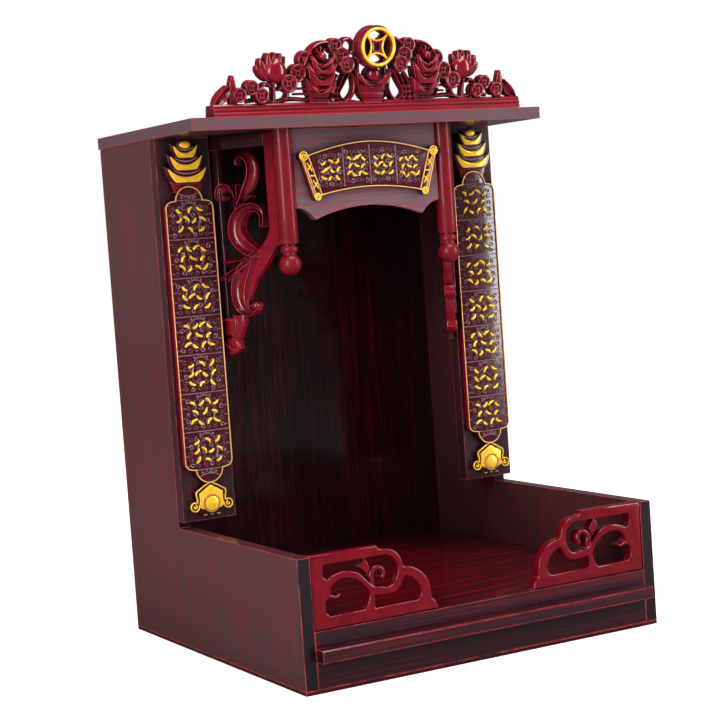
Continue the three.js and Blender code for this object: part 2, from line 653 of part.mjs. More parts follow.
// Lotus seen from the front: a lobed ring of petals behind a round bulb.
function lotus() {
  const petals = [
    at(101, 20), at(94.5, 28), at(92.5, 45), at(97, 43.5), at(98.5, 47.5), at(103, 47.5), at(105.5, 44.5),
    at(107.5, 48.5), at(111, 48), at(112.5, 43), at(116.5, 43.5), at(118, 38), at(123, 36.5), at(120.5, 28),
    at(108, 20),
  ];
  const bulb = [[0, 0], [6.5, 0], [9, 8], [7, 13], [0, 15]];
  return [slab(petals, 9), turnedFront(102, 32, bulb, 8)];
}

function ingotStack(cx) {
  const levels = [[15.3, 22, 3], [13.6, 33, 16], [10.4, 41, 27]];
  const solids = [slab([at(cx - 10.5, -1), at(cx + 10.5, -1), at(cx + 13, 14), at(cx - 13, 14)], 10)];
  levels.forEach(([half, tip, foot], i) => {
    const outline = ingotOutline(half, tip, foot, 0.4).map((p) => at(p.x + cx, p.y));
    solids.push(slab(outline, 15 + i * 2));
  });
  const back = bend(at(cx + 17, 36), at(cx + 10, 58), at(cx - 8, 57), 3);
  solids.push(slab([...back, at(cx - 8, 4), at(cx + 8, 4)], 7));
  solids.push(turnedFront(cx, 43, [[0, 0], [4.2, 0], [4.2, 17.4], [0, 20.4]], 7));
  return solids;
}

function crestHalf() {
  const solids = [
    // End leaf and bud.
    strap([at(167, 0), at(158, 7), at(151, 17)], [4, 12, 7], 9),
    slab([at(149.5, -1), at(151, 18), at(147, 26.5), at(143.5, 17), at(142, -1)], 8),
    // Coins that overlap like scales, from the end to the middle.
    coin(141.2, 9, 7, 12), coin(128.1, 15.5, 7.2, 10), coin(118.7, 8, 7.2, 12.4),
    coin(90, 18.6, 8.6, 12), coin(80, 28, 8.6, 10.4), coin(71.2, 40, 8.8, 9.6),
    coin(40.5, 52.5, 7.6, 10), coin(34.5, 43, 8.6, 12), coin(29.5, 35, 8.2, 13.6),
    ...ingotStack(57.5),
    ...lotus(),
    // Stem and curls under the lotus.
    strap([at(104, -1), at(105, 22)], [4.6, 4.6], 8, EASED),
    strap(curl(112, 14, 6, 4, -60, 150, 3), [4, 4, 3.4], 9, EASED),
    strap(curl(96, 10, 6.5, 4.5, 240, 30, 3), [4, 4, 3.4], 9, EASED),
    strap([at(132, 3), at(104, 1), at(70, 3)], [4, 5, 4], 7, EASED),
    // Loop and S-ribbon beside the coin, and the small post between them.
    strap(curl(25.5, 52, 7.5, 6.5, -70, 250, 5), [3.6, 4.4, 4, 3.4], 9, EASED),
    strap([at(33, 48), at(25, 34), at(31, 20), at(37, 8), at(31, 0)], [5, 6, 6.5, 5.5, 5], 9, EASED),
    strap([at(30, 34), at(21, 26), at(18.5, 14), at(22, 5), at(28, 0)], [4, 5, 4.6, 4.4, 5], 8.4, EASED),
    strap([at(37, 26), at(44, 0)], [5, 4], 7.6, EASED),
    strap([at(15, 22), at(14.6, 58)], [4.4, 5], 9, EASED),
    strap([at(50, -1), at(29, -1), at(16, 0)], [3.2, 3.2, 3.2], 7, EASED),
  ];
  return joined(solids);
}

function crestMiddle() {
  const solids = [];
  // Bowl ingot with its ball, under the coin.
  const bowl = ingotOutline(18.8, 30, 2, 0.42);
  solids.push(slab(bowl, 12.5));
  solids.push(turnedFront(0, 25.5, [[0, 0], [7.6, 0], [7.6, 11], [5, 15.6], [0, 17]], 8));
  solids.push(slab([at(-9, -1), at(9, -1), at(12, 8), at(-12, 8)], 11));
  // Coin with a square eye: ring, concave square and four open segments.
  const centre = 51.5;
  const rim = arc(0, centre, 20.5, 0, 360, COIN_SIDES).slice(1);
  const segment = (turn) => {
    const outerArc = arc(0, 0, 15.2, 52, 128, 4);
    const innerArc = bend(at(-8.2, 10.4), at(0, 6.6), at(8.2, 10.4), 2).slice(1, -1);
    const turned = [...outerArc, ...innerArc].map((p) => p.clone().rotateAround(at(0, 0), degrees(turn)));
    return turned.map((p) => p.add(at(0, centre)));
  };
  const eye = [at(-3.6, centre - 3.6), at(3.6, centre - 3.6), at(3.6, centre + 3.6), at(-3.6, centre + 3.6)];
  const holes = [0, 90, 180, 270].map(segment);
  solids.push(slab(rim, 12, 6, [...holes, eye]));
  const outer = arc(0, centre, 18.2, 0, 360, COIN_SIDES).slice(1);
  const bore = arc(0, centre, 16, 0, 360, COIN_SIDES).slice(1);
  solids.push(slab(outer, 17, 6, [bore]));
  return joined(solids);
}

function crestBase() {
  const half = drawn.crestHalf;
  const height = CREST_BASE_HEIGHT;
  const depth = CREST_BASE_DEPTH;
  const rib = height / 6;
  const section = [
    at(0, 0), at(0, rib * 1.6), at(1.4, rib * 2), at(0.6, rib * 2.6), at(0.6, rib * 3.4), at(2, rib * 3.8),
    at(1.4, rib * 4.4), at(1.4, rib * 5), at(2.8, height), at(depth - 2, height), at(depth, 0),
  ];
  return toSolid(acrossSection(section, -half, half));
}

function addCrest() {
  const stretch = CREST_WIDTH / 2 / drawn.crestHalf;
  const half = crestHalf();
  const carving = joined([crestMiddle(), half, mirroredX(half)]);
  const raised = carving.scale([stretch, 1, CREST_RISE / drawn.crestRise]);
  const leaning = raised.rotate([CREST_LEAN, 0, 0]);
  const base = crestBase().scale([stretch, 1, 1]);
  const body = moved(leaning, 0, CREST_BASE_DEPTH - CARVING_BACK, CREST_BASE_HEIGHT);
  const mesh = addMesh('crest', toGeometry(base.add(body)), carvedLacquer);
  mesh.position.set(0, ROOF_FRONT, BODY_HEIGHT + ROOF_THICK + GLUE_GAP);
}

addBoards();
addStrip();
addHeader();
addColumns();
addTallPlaques();
addFanPlaque();
addBrackets();
addFrets();
addCrest();

export default cabinet;
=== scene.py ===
# Household altar cabinet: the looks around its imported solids. Metres, front towards -Y.
# Carved forms are worked out in millimetres in a front plane: x to the right, z up,
# with y growing towards the viewer from the back of the form.
import math

import bmesh
import bpy
from mathutils import Matrix, Vector


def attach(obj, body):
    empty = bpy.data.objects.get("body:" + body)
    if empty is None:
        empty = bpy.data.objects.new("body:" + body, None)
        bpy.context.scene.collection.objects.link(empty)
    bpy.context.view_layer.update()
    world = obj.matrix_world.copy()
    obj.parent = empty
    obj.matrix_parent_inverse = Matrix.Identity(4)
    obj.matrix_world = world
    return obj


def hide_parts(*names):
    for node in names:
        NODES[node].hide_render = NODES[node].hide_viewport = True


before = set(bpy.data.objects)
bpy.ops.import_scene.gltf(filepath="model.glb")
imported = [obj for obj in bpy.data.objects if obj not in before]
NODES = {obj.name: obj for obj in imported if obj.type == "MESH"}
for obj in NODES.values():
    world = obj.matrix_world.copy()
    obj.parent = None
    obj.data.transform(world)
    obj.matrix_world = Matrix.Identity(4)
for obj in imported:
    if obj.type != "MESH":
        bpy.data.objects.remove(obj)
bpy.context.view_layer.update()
MM = 0.001

# Sizes shared with the solids, in millimetres.
GAP = 0.3
FRONT_TO_MIDDLE = 181.25
UNDER_ROOF = 494.2
POST_FACE = 234.5
POST_THICK = 13
POST_INNER = 134.5
POST_CENTRE = 162.25
COLUMN_X = 89.1
COLUMN_Y = 168
COLUMN_RADIUS = 9.5
HEADER_FACE = 165
PLATE = 6.5
RELIEF = 1.2
BORDER = 1
GROUND = PLATE - 0.15
TALL_FOOT = 175.6
TALL_CELL = 37
TALL_CELLS = 7
TALL_HALF = 25
TALL_ARCH = 14.4
FAN_FOOT = 429
FAN_HALF_TOP = 72.3
FAN_HALF_FOOT = 59.9
FAN_HEIGHT = 40
BRACKET_THICK = 12
BRACKET_REACH = 84.7
BRACKET_LAND = 2
FRET_THICK = 10
FRET_EDGE = 177.7
FRET_FOOT = 54.3
FRET_SETBACK = 0.4
CREST_FRONT = 142.2
CREST_FOOT = 506.3
CREST_LEAN = 7.5
CREST_RAIL = 11.3
CREST_HALF = 168

# The photograph's camera, in degrees, metres and millimetres of lens.
CAMERA_AZIMUTH = -29.20609122
CAMERA_ELEVATION = 3.99695953
CAMERA_ROLL = -4.04373144
CAMERA_PLACE = (-0.874686, -1.540669, 0.39142)
CAMERA_LENS = 90.283


# Shader groups and materials
def new_group(name, inputs, outputs):
    """An empty shader group with named sockets."""
    tree = bpy.data.node_groups.new(name, "ShaderNodeTree")
    for socket, kind, value in inputs:
        made = tree.interface.new_socket(name=socket, in_out="INPUT", socket_type="NodeSocket" + kind)
        if value is not None:
            made.default_value = value
    for socket, kind in outputs:
        tree.interface.new_socket(name=socket, in_out="OUTPUT", socket_type="NodeSocket" + kind)
    return tree, tree.nodes.new("NodeGroupInput"), tree.nodes.new("NodeGroupOutput")


def wire(tree, made, links):
    """Gives each named socket of a node its value, or a link where the value is another socket."""
    for key, value in links.items():
        socket = made.inputs[key]
        if isinstance(value, bpy.types.NodeSocket):
            tree.links.new(value, socket)
        else:
            socket.default_value = value


def node(tree, kind, links=None, **values):
    """A shader node with its properties, and its sockets wired by name."""
    made = tree.nodes.new("ShaderNode" + kind)
    for key, value in values.items():
        setattr(made, key, value)
    wire(tree, made, links or {})
    return made


def noise(tree, vector, **values):
    """The grey of a noise texture over the given places."""
    return node(tree, "TexNoise", {"Vector": vector, **values}).outputs[0]


def product(tree, a, b):
    return node(tree, "Math", {0: a, 1: b}, operation="MULTIPLY").outputs[0]


def mixed(tree, factor, a, b):
    """Colour a where the factor is 0, colour b where it is 1."""
    factor_socket, a_socket, b_socket, colour_out = 0, 6, 7, 2
    made = node(tree, "Mix", {factor_socket: factor, a_socket: a, b_socket: b}, data_type="RGBA")
    return made.outputs[colour_out]


def spread(tree, value, low, high, to_low=0.0, to_high=1.0):
    """Eases a value from one range to another."""
    made = node(tree, "MapRange", {"Value": value, "From Min": low, "From Max": high,
                                   "To Min": to_low, "To Max": to_high}, interpolation_type="SMOOTHSTEP")
    return made.outputs["Result"]


def streak_group():
    """Fine wood streaks along one direction, seen through dark lacquer."""
    tree, given, out = new_group(
        "wood streaks",
        [("Grain", "Vector", (1, 1, 1)), ("Dark", "Color", None), ("Streak", "Color", None),
         ("Amount", "Float", 0.5)],
        [("Color", "Color")])
    place = node(tree, "TexCoord")
    grain = {"Vector": place.outputs["Object"], "Scale": given.outputs["Grain"]}
    stretched = node(tree, "Mapping", grain).outputs[0]
    broad = noise(tree, stretched, Scale=34, Detail=5, Roughness=0.65, Distortion=0.6)
    fine = noise(tree, stretched, Scale=400, Detail=2, Roughness=0.6)
    bands = spread(tree, broad, 0.36, 0.62, 0.5, 1.0)
    threads = spread(tree, fine, 0.46, 0.6, 0.16, 1.0)
    amount = product(tree, product(tree, bands, threads), given.outputs["Amount"])
    tree.links.new(mixed(tree, amount, given.outputs["Dark"], given.outputs["Streak"]), out.inputs["Color"])
    return tree


def arris_group():
    """How near a point is to a sharp edge, broken up as worn lacquer is. Boards take it for worn red edges;
    carvings take it partly for worn edges and partly for painted highlights along their edges.
    """
    tree, given, out = new_group("rubbed arris", [("Radius", "Float", 0.001), ("Wear", "Float", 0.5)],
                                 [("Mask", "Float")])
    rounded = node(tree, "Bevel", {"Radius": given.outputs["Radius"]}, samples=6)
    flat = node(tree, "NewGeometry")
    normals = {0: rounded.outputs[0], 1: flat.outputs["Normal"]}
    facing = node(tree, "VectorMath", normals, operation="DOT_PRODUCT")
    near = spread(tree, facing.outputs["Value"], 0.995, 0.93)
    place = node(tree, "TexCoord")
    patches = noise(tree, place.outputs["Object"], Scale=70, Detail=4, Roughness=0.7)
    worn = node(tree, "Math", {0: patches, 1: given.outputs["Wear"]}, operation="ADD")
    broken = spread(tree, worn.outputs[0], 0.62, 0.95)
    tree.links.new(product(tree, near, broken), out.inputs["Mask"])
    return tree


def ripple_group():
    """The slight unevenness of hand-laid lacquer, as a normal."""
    tree, given, out = new_group("lacquer ripple", [("Scale", "Float", 40), ("Depth", "Float", 0.0002)],
                                 [("Normal", "Vector"), ("Mottle", "Float")])
    place = node(tree, "TexCoord")
    waves = noise(tree, place.outputs["Object"], Scale=given.outputs["Scale"], Detail=3)
    bump = node(tree, "Bump", {"Height": waves, "Distance": given.outputs["Depth"], "Strength": 1.0})
    tree.links.new(bump.outputs[0], out.inputs["Normal"])
    tree.links.new(waves, out.inputs["Mottle"])
    return tree


STREAKS = streak_group()
ARRIS = arris_group()
RIPPLE = ripple_group()


def used(tree, group, links):
    """One use of a shader group, with its own values."""
    return node(tree, "Group", links, node_tree=group)


def new_material(name):
    """An empty material, its node tree and its shader."""
    material = bpy.data.materials.new(name)
    material.use_nodes = True
    tree = material.node_tree
    return material, tree, tree.nodes["Principled BSDF"]


def board_material(name, grain, dark, streak, amount, wear=0.34, front=None, arris=(0.46, 0.035, 0.05, 1)):
    """Glossy dark lacquer over streaked wood, with worn red edges and painted shade where the boards enclose
    the niche.

    Faces towards the front take the plain front colour where one is given.
    """
    material, tree, shader = new_material(name)
    streaks = used(tree, STREAKS, {"Grain": grain, "Dark": dark, "Streak": streak, "Amount": amount})
    edge = used(tree, ARRIS, {"Radius": 0.0011, "Wear": wear})
    ripple = used(tree, RIPPLE, {"Scale": 26, "Depth": 0.00016})
    # Painted shade: ambient occlusion over 22 cm darkens the wood towards black inside the niche and in the
    # corners between boards.
    shade = node(tree, "AmbientOcclusion", {"Distance": 0.22}, samples=6)
    unshaded_share = spread(tree, shade.outputs["AO"], 0.2, 0.8, 0.2, 1.0)
    wood = streaks.outputs["Color"]
    if front:
        facing = node(tree, "NewGeometry")
        parts = node(tree, "SeparateXYZ", {"Vector": facing.outputs["Normal"]})
        wood = mixed(tree, spread(tree, parts.outputs["Y"], -0.8, -0.95), wood, front)
    lit = mixed(tree, unshaded_share, (0, 0, 0, 1), wood)
    colour = mixed(tree, edge.outputs["Mask"], lit, arris)
    gloss = spread(tree, ripple.outputs["Mottle"], 0.3, 0.7, 0.135, 0.21)
    wire(tree, shader, {"Base Color": colour, "Roughness": gloss, "Normal": ripple.outputs["Normal"],
                        "Coat Weight": 0.2, "Coat Roughness": 0.05})
    return material


def carved_material(name, crown, dark_mottle_and_shade, edge_wear_and_highlight, roughness=0.2, depth=0.005, sheen=0.42):
    """Crimson lacquer with painted shade in its creases and in the parts deep in the niche, and edges
    brighter partly from wear and partly as painted highlight.
    """
    material, tree, shader = new_material(name)
    # Painted shade: short-range ambient occlusion darkens creases and recesses towards the dark tone.
    shade = node(tree, "AmbientOcclusion", {"Distance": depth}, samples=8)
    ripple = used(tree, RIPPLE, {"Scale": 90, "Depth": 0.00022})
    unshaded_share = spread(tree, shade.outputs["AO"], 0.4, 0.98)
    # Painted shade: ambient occlusion over 9 cm darkens the parts that sit deep in the niche.
    around = node(tree, "AmbientOcclusion", {"Distance": 0.09}, samples=6)
    niche_shade_share = spread(tree, around.outputs["AO"], 0.25, 0.8, 0.85, 0.0)
    body = mixed(tree, niche_shade_share, mixed(tree, unshaded_share, dark_mottle_and_shade, crown), dark_mottle_and_shade)
    mottled = mixed(tree, spread(tree, ripple.outputs["Mottle"], 0.35, 0.75, 0.0, 0.35), body, dark_mottle_and_shade)
    # The lighter edge tone is partly wear and partly a painted highlight.
    edge = used(tree, ARRIS, {"Radius": 0.0006, "Wear": 0.45})
    colour = mixed(tree, edge.outputs["Mask"], mottled, edge_wear_and_highlight)
    wire(tree, shader, {"Base Color": colour, "Roughness": roughness, "Normal": ripple.outputs["Normal"],
                        "Specular IOR Level": sheen, "Coat Weight": 0.15, "Coat Roughness": 0.04})
    return material


def gilt_material(name, bright, thin_gold_and_shade, roughness):
    """Gold paint that thins to a darker tone here and there, with painted shade in its small crevices."""
    material, tree, shader = new_material(name)
    ripple = used(tree, RIPPLE, {"Scale": 160, "Depth": 0.00018})
    # Painted shade: ambient occlusion over 1.2 mm darkens the gold in crevices and where it meets other
    # parts.
    shade = node(tree, "AmbientOcclusion", {"Distance": 0.0012}, samples=6)
    thin = spread(tree, ripple.outputs["Mottle"], 0.5, 0.78, 0.0, 0.5)
    tone = mixed(tree, thin, bright, thin_gold_and_shade)
    colour = mixed(tree, spread(tree, shade.outputs["AO"], 0.2, 0.8), thin_gold_and_shade, tone)
    wire(tree, shader, {"Base Color": colour, "Roughness": roughness, "Metallic": 0.4,
                        "Normal": ripple.outputs["Normal"]})
    return material


UP_GRAIN = (1, 1, 0.022)
ACROSS_GRAIN = (0.022, 1, 1)
upright_board = board_material(
    "board with upright grain", UP_GRAIN, (0.05, 0.024, 0.026, 1), (0.17, 0.008, 0.016, 1), 0.6,
    front=(0.012, 0.006, 0.008, 1))
post_wood = board_material(
    "post board", UP_GRAIN, (0.02, 0.01, 0.013, 1), (0.12, 0.004, 0.01, 1), 0.4, wear=0.3)
# This board for the back of the niche is painted much darker than the others, as shade.
back_board_in_shade = board_material(
    "back board", UP_GRAIN, (0.006, 0.002, 0.003, 1), (0.09, 0.001, 0.003, 1), 0.6, wear=-0.4)
level_board = board_material(
    "board with level grain", ACROSS_GRAIN, (0.022, 0.006, 0.009, 1), (0.16, 0.004, 0.012, 1), 0.34)
header_wood = board_material(
    "header board", ACROSS_GRAIN, (0.12, 0.078, 0.09, 1), (0.2, 0.02, 0.03, 1), 0.6)
roof_wood = board_material(
    "roof board", ACROSS_GRAIN, (0.08, 0.045, 0.05, 1), (0.13, 0.03, 0.04, 1), 0.4, wear=0.4,
    arris=(0.38, 0.02, 0.035, 1))
floor_wood = board_material(
    "niche floor", ACROSS_GRAIN, (0.016, 0.003, 0.005, 1), (0.17, 0.002, 0.006, 1), 0.9, wear=-0.4)
crimson = carved_material(
    "crimson lacquer", (0.16, 0.0015, 0.009, 1), (0.014, 0.0003, 0.001, 1), (0.5, 0.05, 0.07, 1))
column_red = carved_material(
    "column lacquer", (0.135, 0.001, 0.006, 1), (0.03, 0.0005, 0.002, 1), (0.4, 0.02, 0.04, 1), 0.42,
    sheen=0.16)
# Painted shade: a dark mauve form of the crimson lacquer for bracket parts that lie in shade.
shaded_lacquer = carved_material(
    "smoked lacquer", (0.035, 0.006, 0.01, 1), (0.006, 0.0006, 0.001, 1), (0.16, 0.02, 0.03, 1))
fret_red = carved_material(
    "fret lacquer", (0.12, 0.001, 0.006, 1), (0.025, 0.0005, 0.0015, 1), (0.55, 0.05, 0.07, 1), sheen=0.28)
burgundy = carved_material(
    "plaque lacquer", (0.05, 0.003, 0.008, 1), (0.006, 0.0006, 0.0015, 1), (0.2, 0.07, 0.09, 1), depth=0.0022)
# Painted glints: a lighter mauve tone for the ribs, ticks, dots and some curls of the plaque relief where
# they catch light.
glint_relief = carved_material(
    "rubbed plaque relief", (0.16, 0.075, 0.09, 1), (0.05, 0.012, 0.02, 1), (0.3, 0.2, 0.22, 1))
gilt = gilt_material("gold paint", (0.95, 0.56, 0.035, 1), (0.42, 0.15, 0.006, 1), 0.24)
pale_gilt = gilt_material("pale gold border", (0.72, 0.4, 0.13, 1), (0.28, 0.11, 0.03, 1), 0.3)

# Places of the finishes in a carving's list; the first, its ground, is 0.
# Place of the lacquer with painted shade in a bracket's list.
IN_PAINTED_SHADE = 1
# The third plaque finish is the lighter relief tone with painted glints.
GILT, PALE_GILT, GLINT_TONE, WALL = 1, 2, 3, 4
PLAQUE_FINISHES = [burgundy, gilt, pale_gilt, glint_relief, crimson]


# Lines and outlines in the front plane
def arc(cx, cz, radius, start, end, steps):
    """A round line from one angle to another, in degrees."""
    return curl(cx, cz, radius, radius, start, end, steps)


def curl(cx, cz, first, last, start, end, steps):
    """A line that turns from one angle to another while its radius changes evenly."""
    made = []
    for i in range(steps + 1):
        share = i / steps
        angle = math.radians(start + (end - start) * share)
        radius = first + (last - first) * share
        made.append((cx + radius * math.cos(angle), cz + radius * math.sin(angle)))
    return made


def bend(a, b, c, steps):
    """A single curve from a to c, drawn towards b."""
    return [tuple((1 - t) ** 2 * p + 2 * t * (1 - t) * q + t * t * r for p, q, r in zip(a, b, c))
            for t in (i / steps for i in range(steps + 1))]


def flow(points, steps):
    """A smooth line through the points, cut into even steps."""
    ends = [points[0], *points, points[-1]]
    parts = 12
    fine = []
    for i in range(len(points) - 1):
        p0, p1, p2, p3 = (Vector(p) for p in ends[i:i + 4])
        for k in range(parts):
            t = k / parts
            fine.append(0.5 * (2 * p1 + (p2 - p0) * t + (2 * p0 - 5 * p1 + 4 * p2 - p3) * t * t
                               + (3 * p1 - p0 - 3 * p2 + p3) * t ** 3))
    fine.append(Vector(points[-1]))
    gone = [0.0]
    for a, b in zip(fine, fine[1:]):
        gone.append(gone[-1] + (b - a).length)
    made = []
    k = 0
    for i in range(steps + 1):
        goal = gone[-1] * i / steps
        while k < len(fine) - 2 and gone[k + 1] < goal:
            k += 1
        share = (goal - gone[k]) / max(gone[k + 1] - gone[k], 1e-9)
        made.append(tuple(fine[k].lerp(fine[k + 1], min(share, 1.0))))
    return made


def flipped(points):
    """The mirror image of a line, run the other way."""
    return [(-x, z) for x, z in reversed(points)]


def both_sides(half):
    """A closed outline from its right half."""
    return half + flipped(half)


def square(cx, cz, half):
    return [(cx - half, cz - half), (cx + half, cz - half), (cx + half, cz + half), (cx - half, cz + half)]


def shifted(points, dx, dz):
    return [(x + dx, z + dz) for x, z in points]


def inset(points, distance):
    """An outline drawn inwards by a distance."""
    clean = [p for i, p in enumerate(points) if math.dist(p, points[i - 1]) > 0.05]
    area = sum(a[0] * b[1] - b[0] * a[1] for a, b in zip(clean, clean[1:] + clean[:1]))
    turn = 1 if area > 0 else -1
    made = []
    for i, p in enumerate(clean):
        q, r = Vector(clean[i - 1]), Vector(clean[(i + 1) % len(clean)])
        a, b = (Vector(p) - q).normalized(), (r - Vector(p)).normalized()
        normal = Vector((-(a.y + b.y), a.x + b.x)).normalized()
        reach = distance / max(0.5, normal.dot(Vector((-a.y, a.x))))
        made.append(tuple(Vector(p) + normal * turn * reach))
    return made


# Cross sections of carved bands: place across the half width, and height as a share of the full height
ROUND = [(-1, 0), (-1, 0.45), (-0.9, 0.68), (-0.68, 0.86), (-0.36, 0.97), (0, 1), (0.36, 0.97), (0.68, 0.86),
         (0.9, 0.68), (1, 0.45), (1, 0)]
CHANNEL = [(-1, 0), (-1, 0.7), (-0.9, 0.9), (-0.68, 1), (-0.5, 0.92), (-0.26, 0.7), (0, 0.62), (0.26, 0.7),
           (0.5, 0.92), (0.68, 1), (0.9, 0.9), (1, 0.7), (1, 0)]
RIMMED = [(-1, 0), (-1, 0.86), (-0.95, 0.98), (-0.88, 1), (-0.8, 0.92), (-0.7, 0.72), (-0.4, 0.58), (0, 0.54),
          (0.4, 0.58), (0.7, 0.72), (0.82, 0.9), (0.9, 0.96), (0.97, 0.92), (1, 0.8), (1, 0)]
RIDGED = [(-1, 0), (-1, 0.36), (-0.75, 0.5), (-0.3, 0.64), (-0.1, 0.95), (0, 1), (0.1, 0.95), (0.3, 0.64),
          (0.75, 0.5), (1, 0.36), (1, 0)]
LIPPED = [(-1, 0), (-1, 0.9), (-0.94, 1), (-0.82, 0.97), (-0.66, 0.7), (-0.25, 0.52), (0.4, 0.42),
          (0.85, 0.36), (1, 0.28), (1, 0)]
LOW = [(-1, 0), (-0.75, 0.7), (0, 1), (0.75, 0.7), (1, 0)]
KEEL = [(-1, 0), (-1, 0.5), (-0.8, 0.66), (-0.42, 0.78), (-0.12, 0.97), (0, 1), (0.12, 0.97), (0.42, 0.78),
        (0.8, 0.66), (1, 0.5), (1, 0)]


class Carving:
    """One mesh gathered from plates, straps and turned forms, which grow towards the viewer from y = 0."""

    def __init__(self, materials):
        self.mesh = bmesh.new()
        self.materials = materials

    def take(self, vertices, faces, material, smooth=True):
        """Adds a closed form."""
        made = [self.mesh.verts.new(v) for v in vertices]
        for face in faces:
            corners = [made[i] for i in face]
            if len(set(corners)) > 2:
                new = self.mesh.faces.new(corners)
                new.material_index = material
                new.smooth = smooth

    def plate(self, outline, height, back=0.0, holes=(), arris=0.8, material=0):
        """A flat piece with rounded front edges, cut to an outline."""
        curve = bpy.data.curves.new("outline", "CURVE")
        curve.dimensions = "2D"
        curve.fill_mode = "BOTH"
        half = (height - back) / 2
        curve.extrude = half - arris
        curve.bevel_depth = arris
        curve.bevel_resolution = 2
        curve.offset = -arris
        for ring in [outline, *holes]:
            clean = [p for i, p in enumerate(ring) if math.dist(p, ring[i - 1]) > 0.02]
            spline = curve.splines.new("POLY")
            spline.points.add(len(clean) - 1)
            for point, (x, z) in zip(spline.points, clean):
                point.co = (x, z, 0, 1)
            spline.use_cyclic_u = True
        holder = bpy.data.objects.new("outline", curve)
        bpy.context.scene.collection.objects.link(holder)
        evaluated = holder.evaluated_get(bpy.context.evaluated_depsgraph_get())
        made = evaluated.to_mesh()
        middle = back + half
        vertices = [(v.co.x, -(middle + v.co.z), v.co.y) for v in made.vertices]
        faces = [tuple(reversed(p.vertices)) for p in made.polygons]
        self.take(vertices, faces, material, smooth=False)
        evaluated.to_mesh_clear()
        bpy.data.objects.remove(holder)
        bpy.data.curves.remove(curve)

    def strap(self, line, widths, height, back=0.0, section=ROUND, material=0, heights=(1,)):
        """A carved band along a line, as wide and as high as the lists say from end to end."""
        count = len(line)
        vertices = []

        def along(values, share):
            place = share * (len(values) - 1)
            low = min(int(place), len(values) - 2) if len(values) > 1 else 0
            high = min(low + 1, len(values) - 1)
            return values[low] + (values[high] - values[low]) * (place - low)

        for i, p in enumerate(line):
            before, after = Vector(line[max(i - 1, 0)]), Vector(line[min(i + 1, count - 1)])
            way = (after - before).normalized()
            share = i / (count - 1)
            half = along(widths, share) / 2
            tall = height * along(heights, share)
            for side, out in section:
                vertices.append((p[0] - way.y * side * half, -back - out * tall, p[1] + way.x * side * half))
        ring = len(section)
        faces = []
        for i in range(count - 1):
            for k in range(ring):
                a, b = i * ring + k, i * ring + (k + 1) % ring
                faces.append((a, b, b + ring, a + ring))
        faces.append(tuple(range(ring)))
        faces.append(tuple((count - 1) * ring + k for k in reversed(range(ring))))
        self.take(vertices, faces, material)

    def turned(self, cx, cz, profile, sides=36, back=0.0, material=0, squash=1.0):
        """A form turned about an axis that points at the viewer: radius and height pairs."""
        vertices = []
        for radius, height in profile:
            for k in range(sides):
                angle = 2 * math.pi * k / sides
                vertices.append((cx + radius * math.cos(angle), -back - height,
                                 cz + radius * squash * math.sin(angle)))
        faces = []
        for i in range(len(profile) - 1):
            for k in range(sides):
                a, b = i * sides + k, i * sides + (k + 1) % sides
                faces.append((a, b, b + sides, a + sides))
        faces.append(tuple(reversed(range(sides))))
        faces.append(tuple((len(profile) - 1) * sides + k for k in range(sides)))
        self.take(vertices, faces, material)

    def echo(self):
        """Adds the mirror image of all that has been carved so far."""
        everything = self.mesh.verts[:] + self.mesh.edges[:] + self.mesh.faces[:]
        made = bmesh.ops.duplicate(self.mesh, geom=everything)["geom"]
        corners = [g for g in made if isinstance(g, bmesh.types.BMVert)]
        faces = [g for g in made if isinstance(g, bmesh.types.BMFace)]
        bmesh.ops.scale(self.mesh, vec=(-1, 1, 1), verts=corners)
        bmesh.ops.reverse_faces(self.mesh, faces=faces)

    def mirror(self):
        bmesh.ops.scale(self.mesh, vec=(-1, 1, 1), verts=self.mesh.verts)
        bmesh.ops.reverse_faces(self.mesh, faces=self.mesh.faces)

    def widen(self, share):
        bmesh.ops.scale(self.mesh, vec=(share, 1, 1), verts=self.mesh.verts)

    def stand(self, name, replaced, at):
        """Makes the mesh an object on its node. Place: millimetres from the middle of the tray's front."""
        place = Matrix.Translation((at[0], at[1] - FRONT_TO_MIDDLE, at[2]))
        bmesh.ops.transform(self.mesh, matrix=Matrix.Scale(MM, 4) @ place, verts=self.mesh.verts)
        bmesh.ops.remove_doubles(self.mesh, verts=self.mesh.verts, dist=1e-6)
        bmesh.ops.recalc_face_normals(self.mesh, faces=self.mesh.faces)
        data = bpy.data.meshes.new(name)
        self.mesh.to_mesh(data)
        self.mesh.free()
        data.set_sharp_from_angle(angle=math.radians(38))
        for material in self.materials:
            data.materials.append(material)
        made = bpy.data.objects.new(name, data)
        bpy.context.scene.collection.objects.link(made)
        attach(made, "root")
        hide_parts(replaced)
        return made


def dome(radius, foot, rise, steps=6):
    """Profile of a round-headed boss."""
    return [(0.01, 0), (radius, 0)] + [
        (radius * math.cos(math.pi / 2 * i / steps) + 0.01, foot + rise * math.sin(math.pi / 2 * i / steps))
        for i in range(steps + 1)]


# Boards
def dress_boards():
    """Gives every plain board its wood and slightly eased edges."""
    finish = {
        "base_panel": level_board, "left_side_panel": upright_board, "right_side_panel": upright_board,
        "back_panel": back_board_in_shade, "floor_panel": floor_wood, "front_apron": level_board,
        "front_moulding": level_board, "roof_panel": roof_wood, "left_post_board": post_wood,
        "right_post_board": post_wood, "header_board": header_wood,
    }
    for name, material in finish.items():
        board = NODES[name]
        board.data.materials.clear()
        board.data.materials.append(material)
        ease = board.modifiers.new("eased edges", "BEVEL")
        ease.width = 0.0005
        ease.segments = 2
        ease.limit_method = "ANGLE"
        ease.angle_limit = math.radians(50)


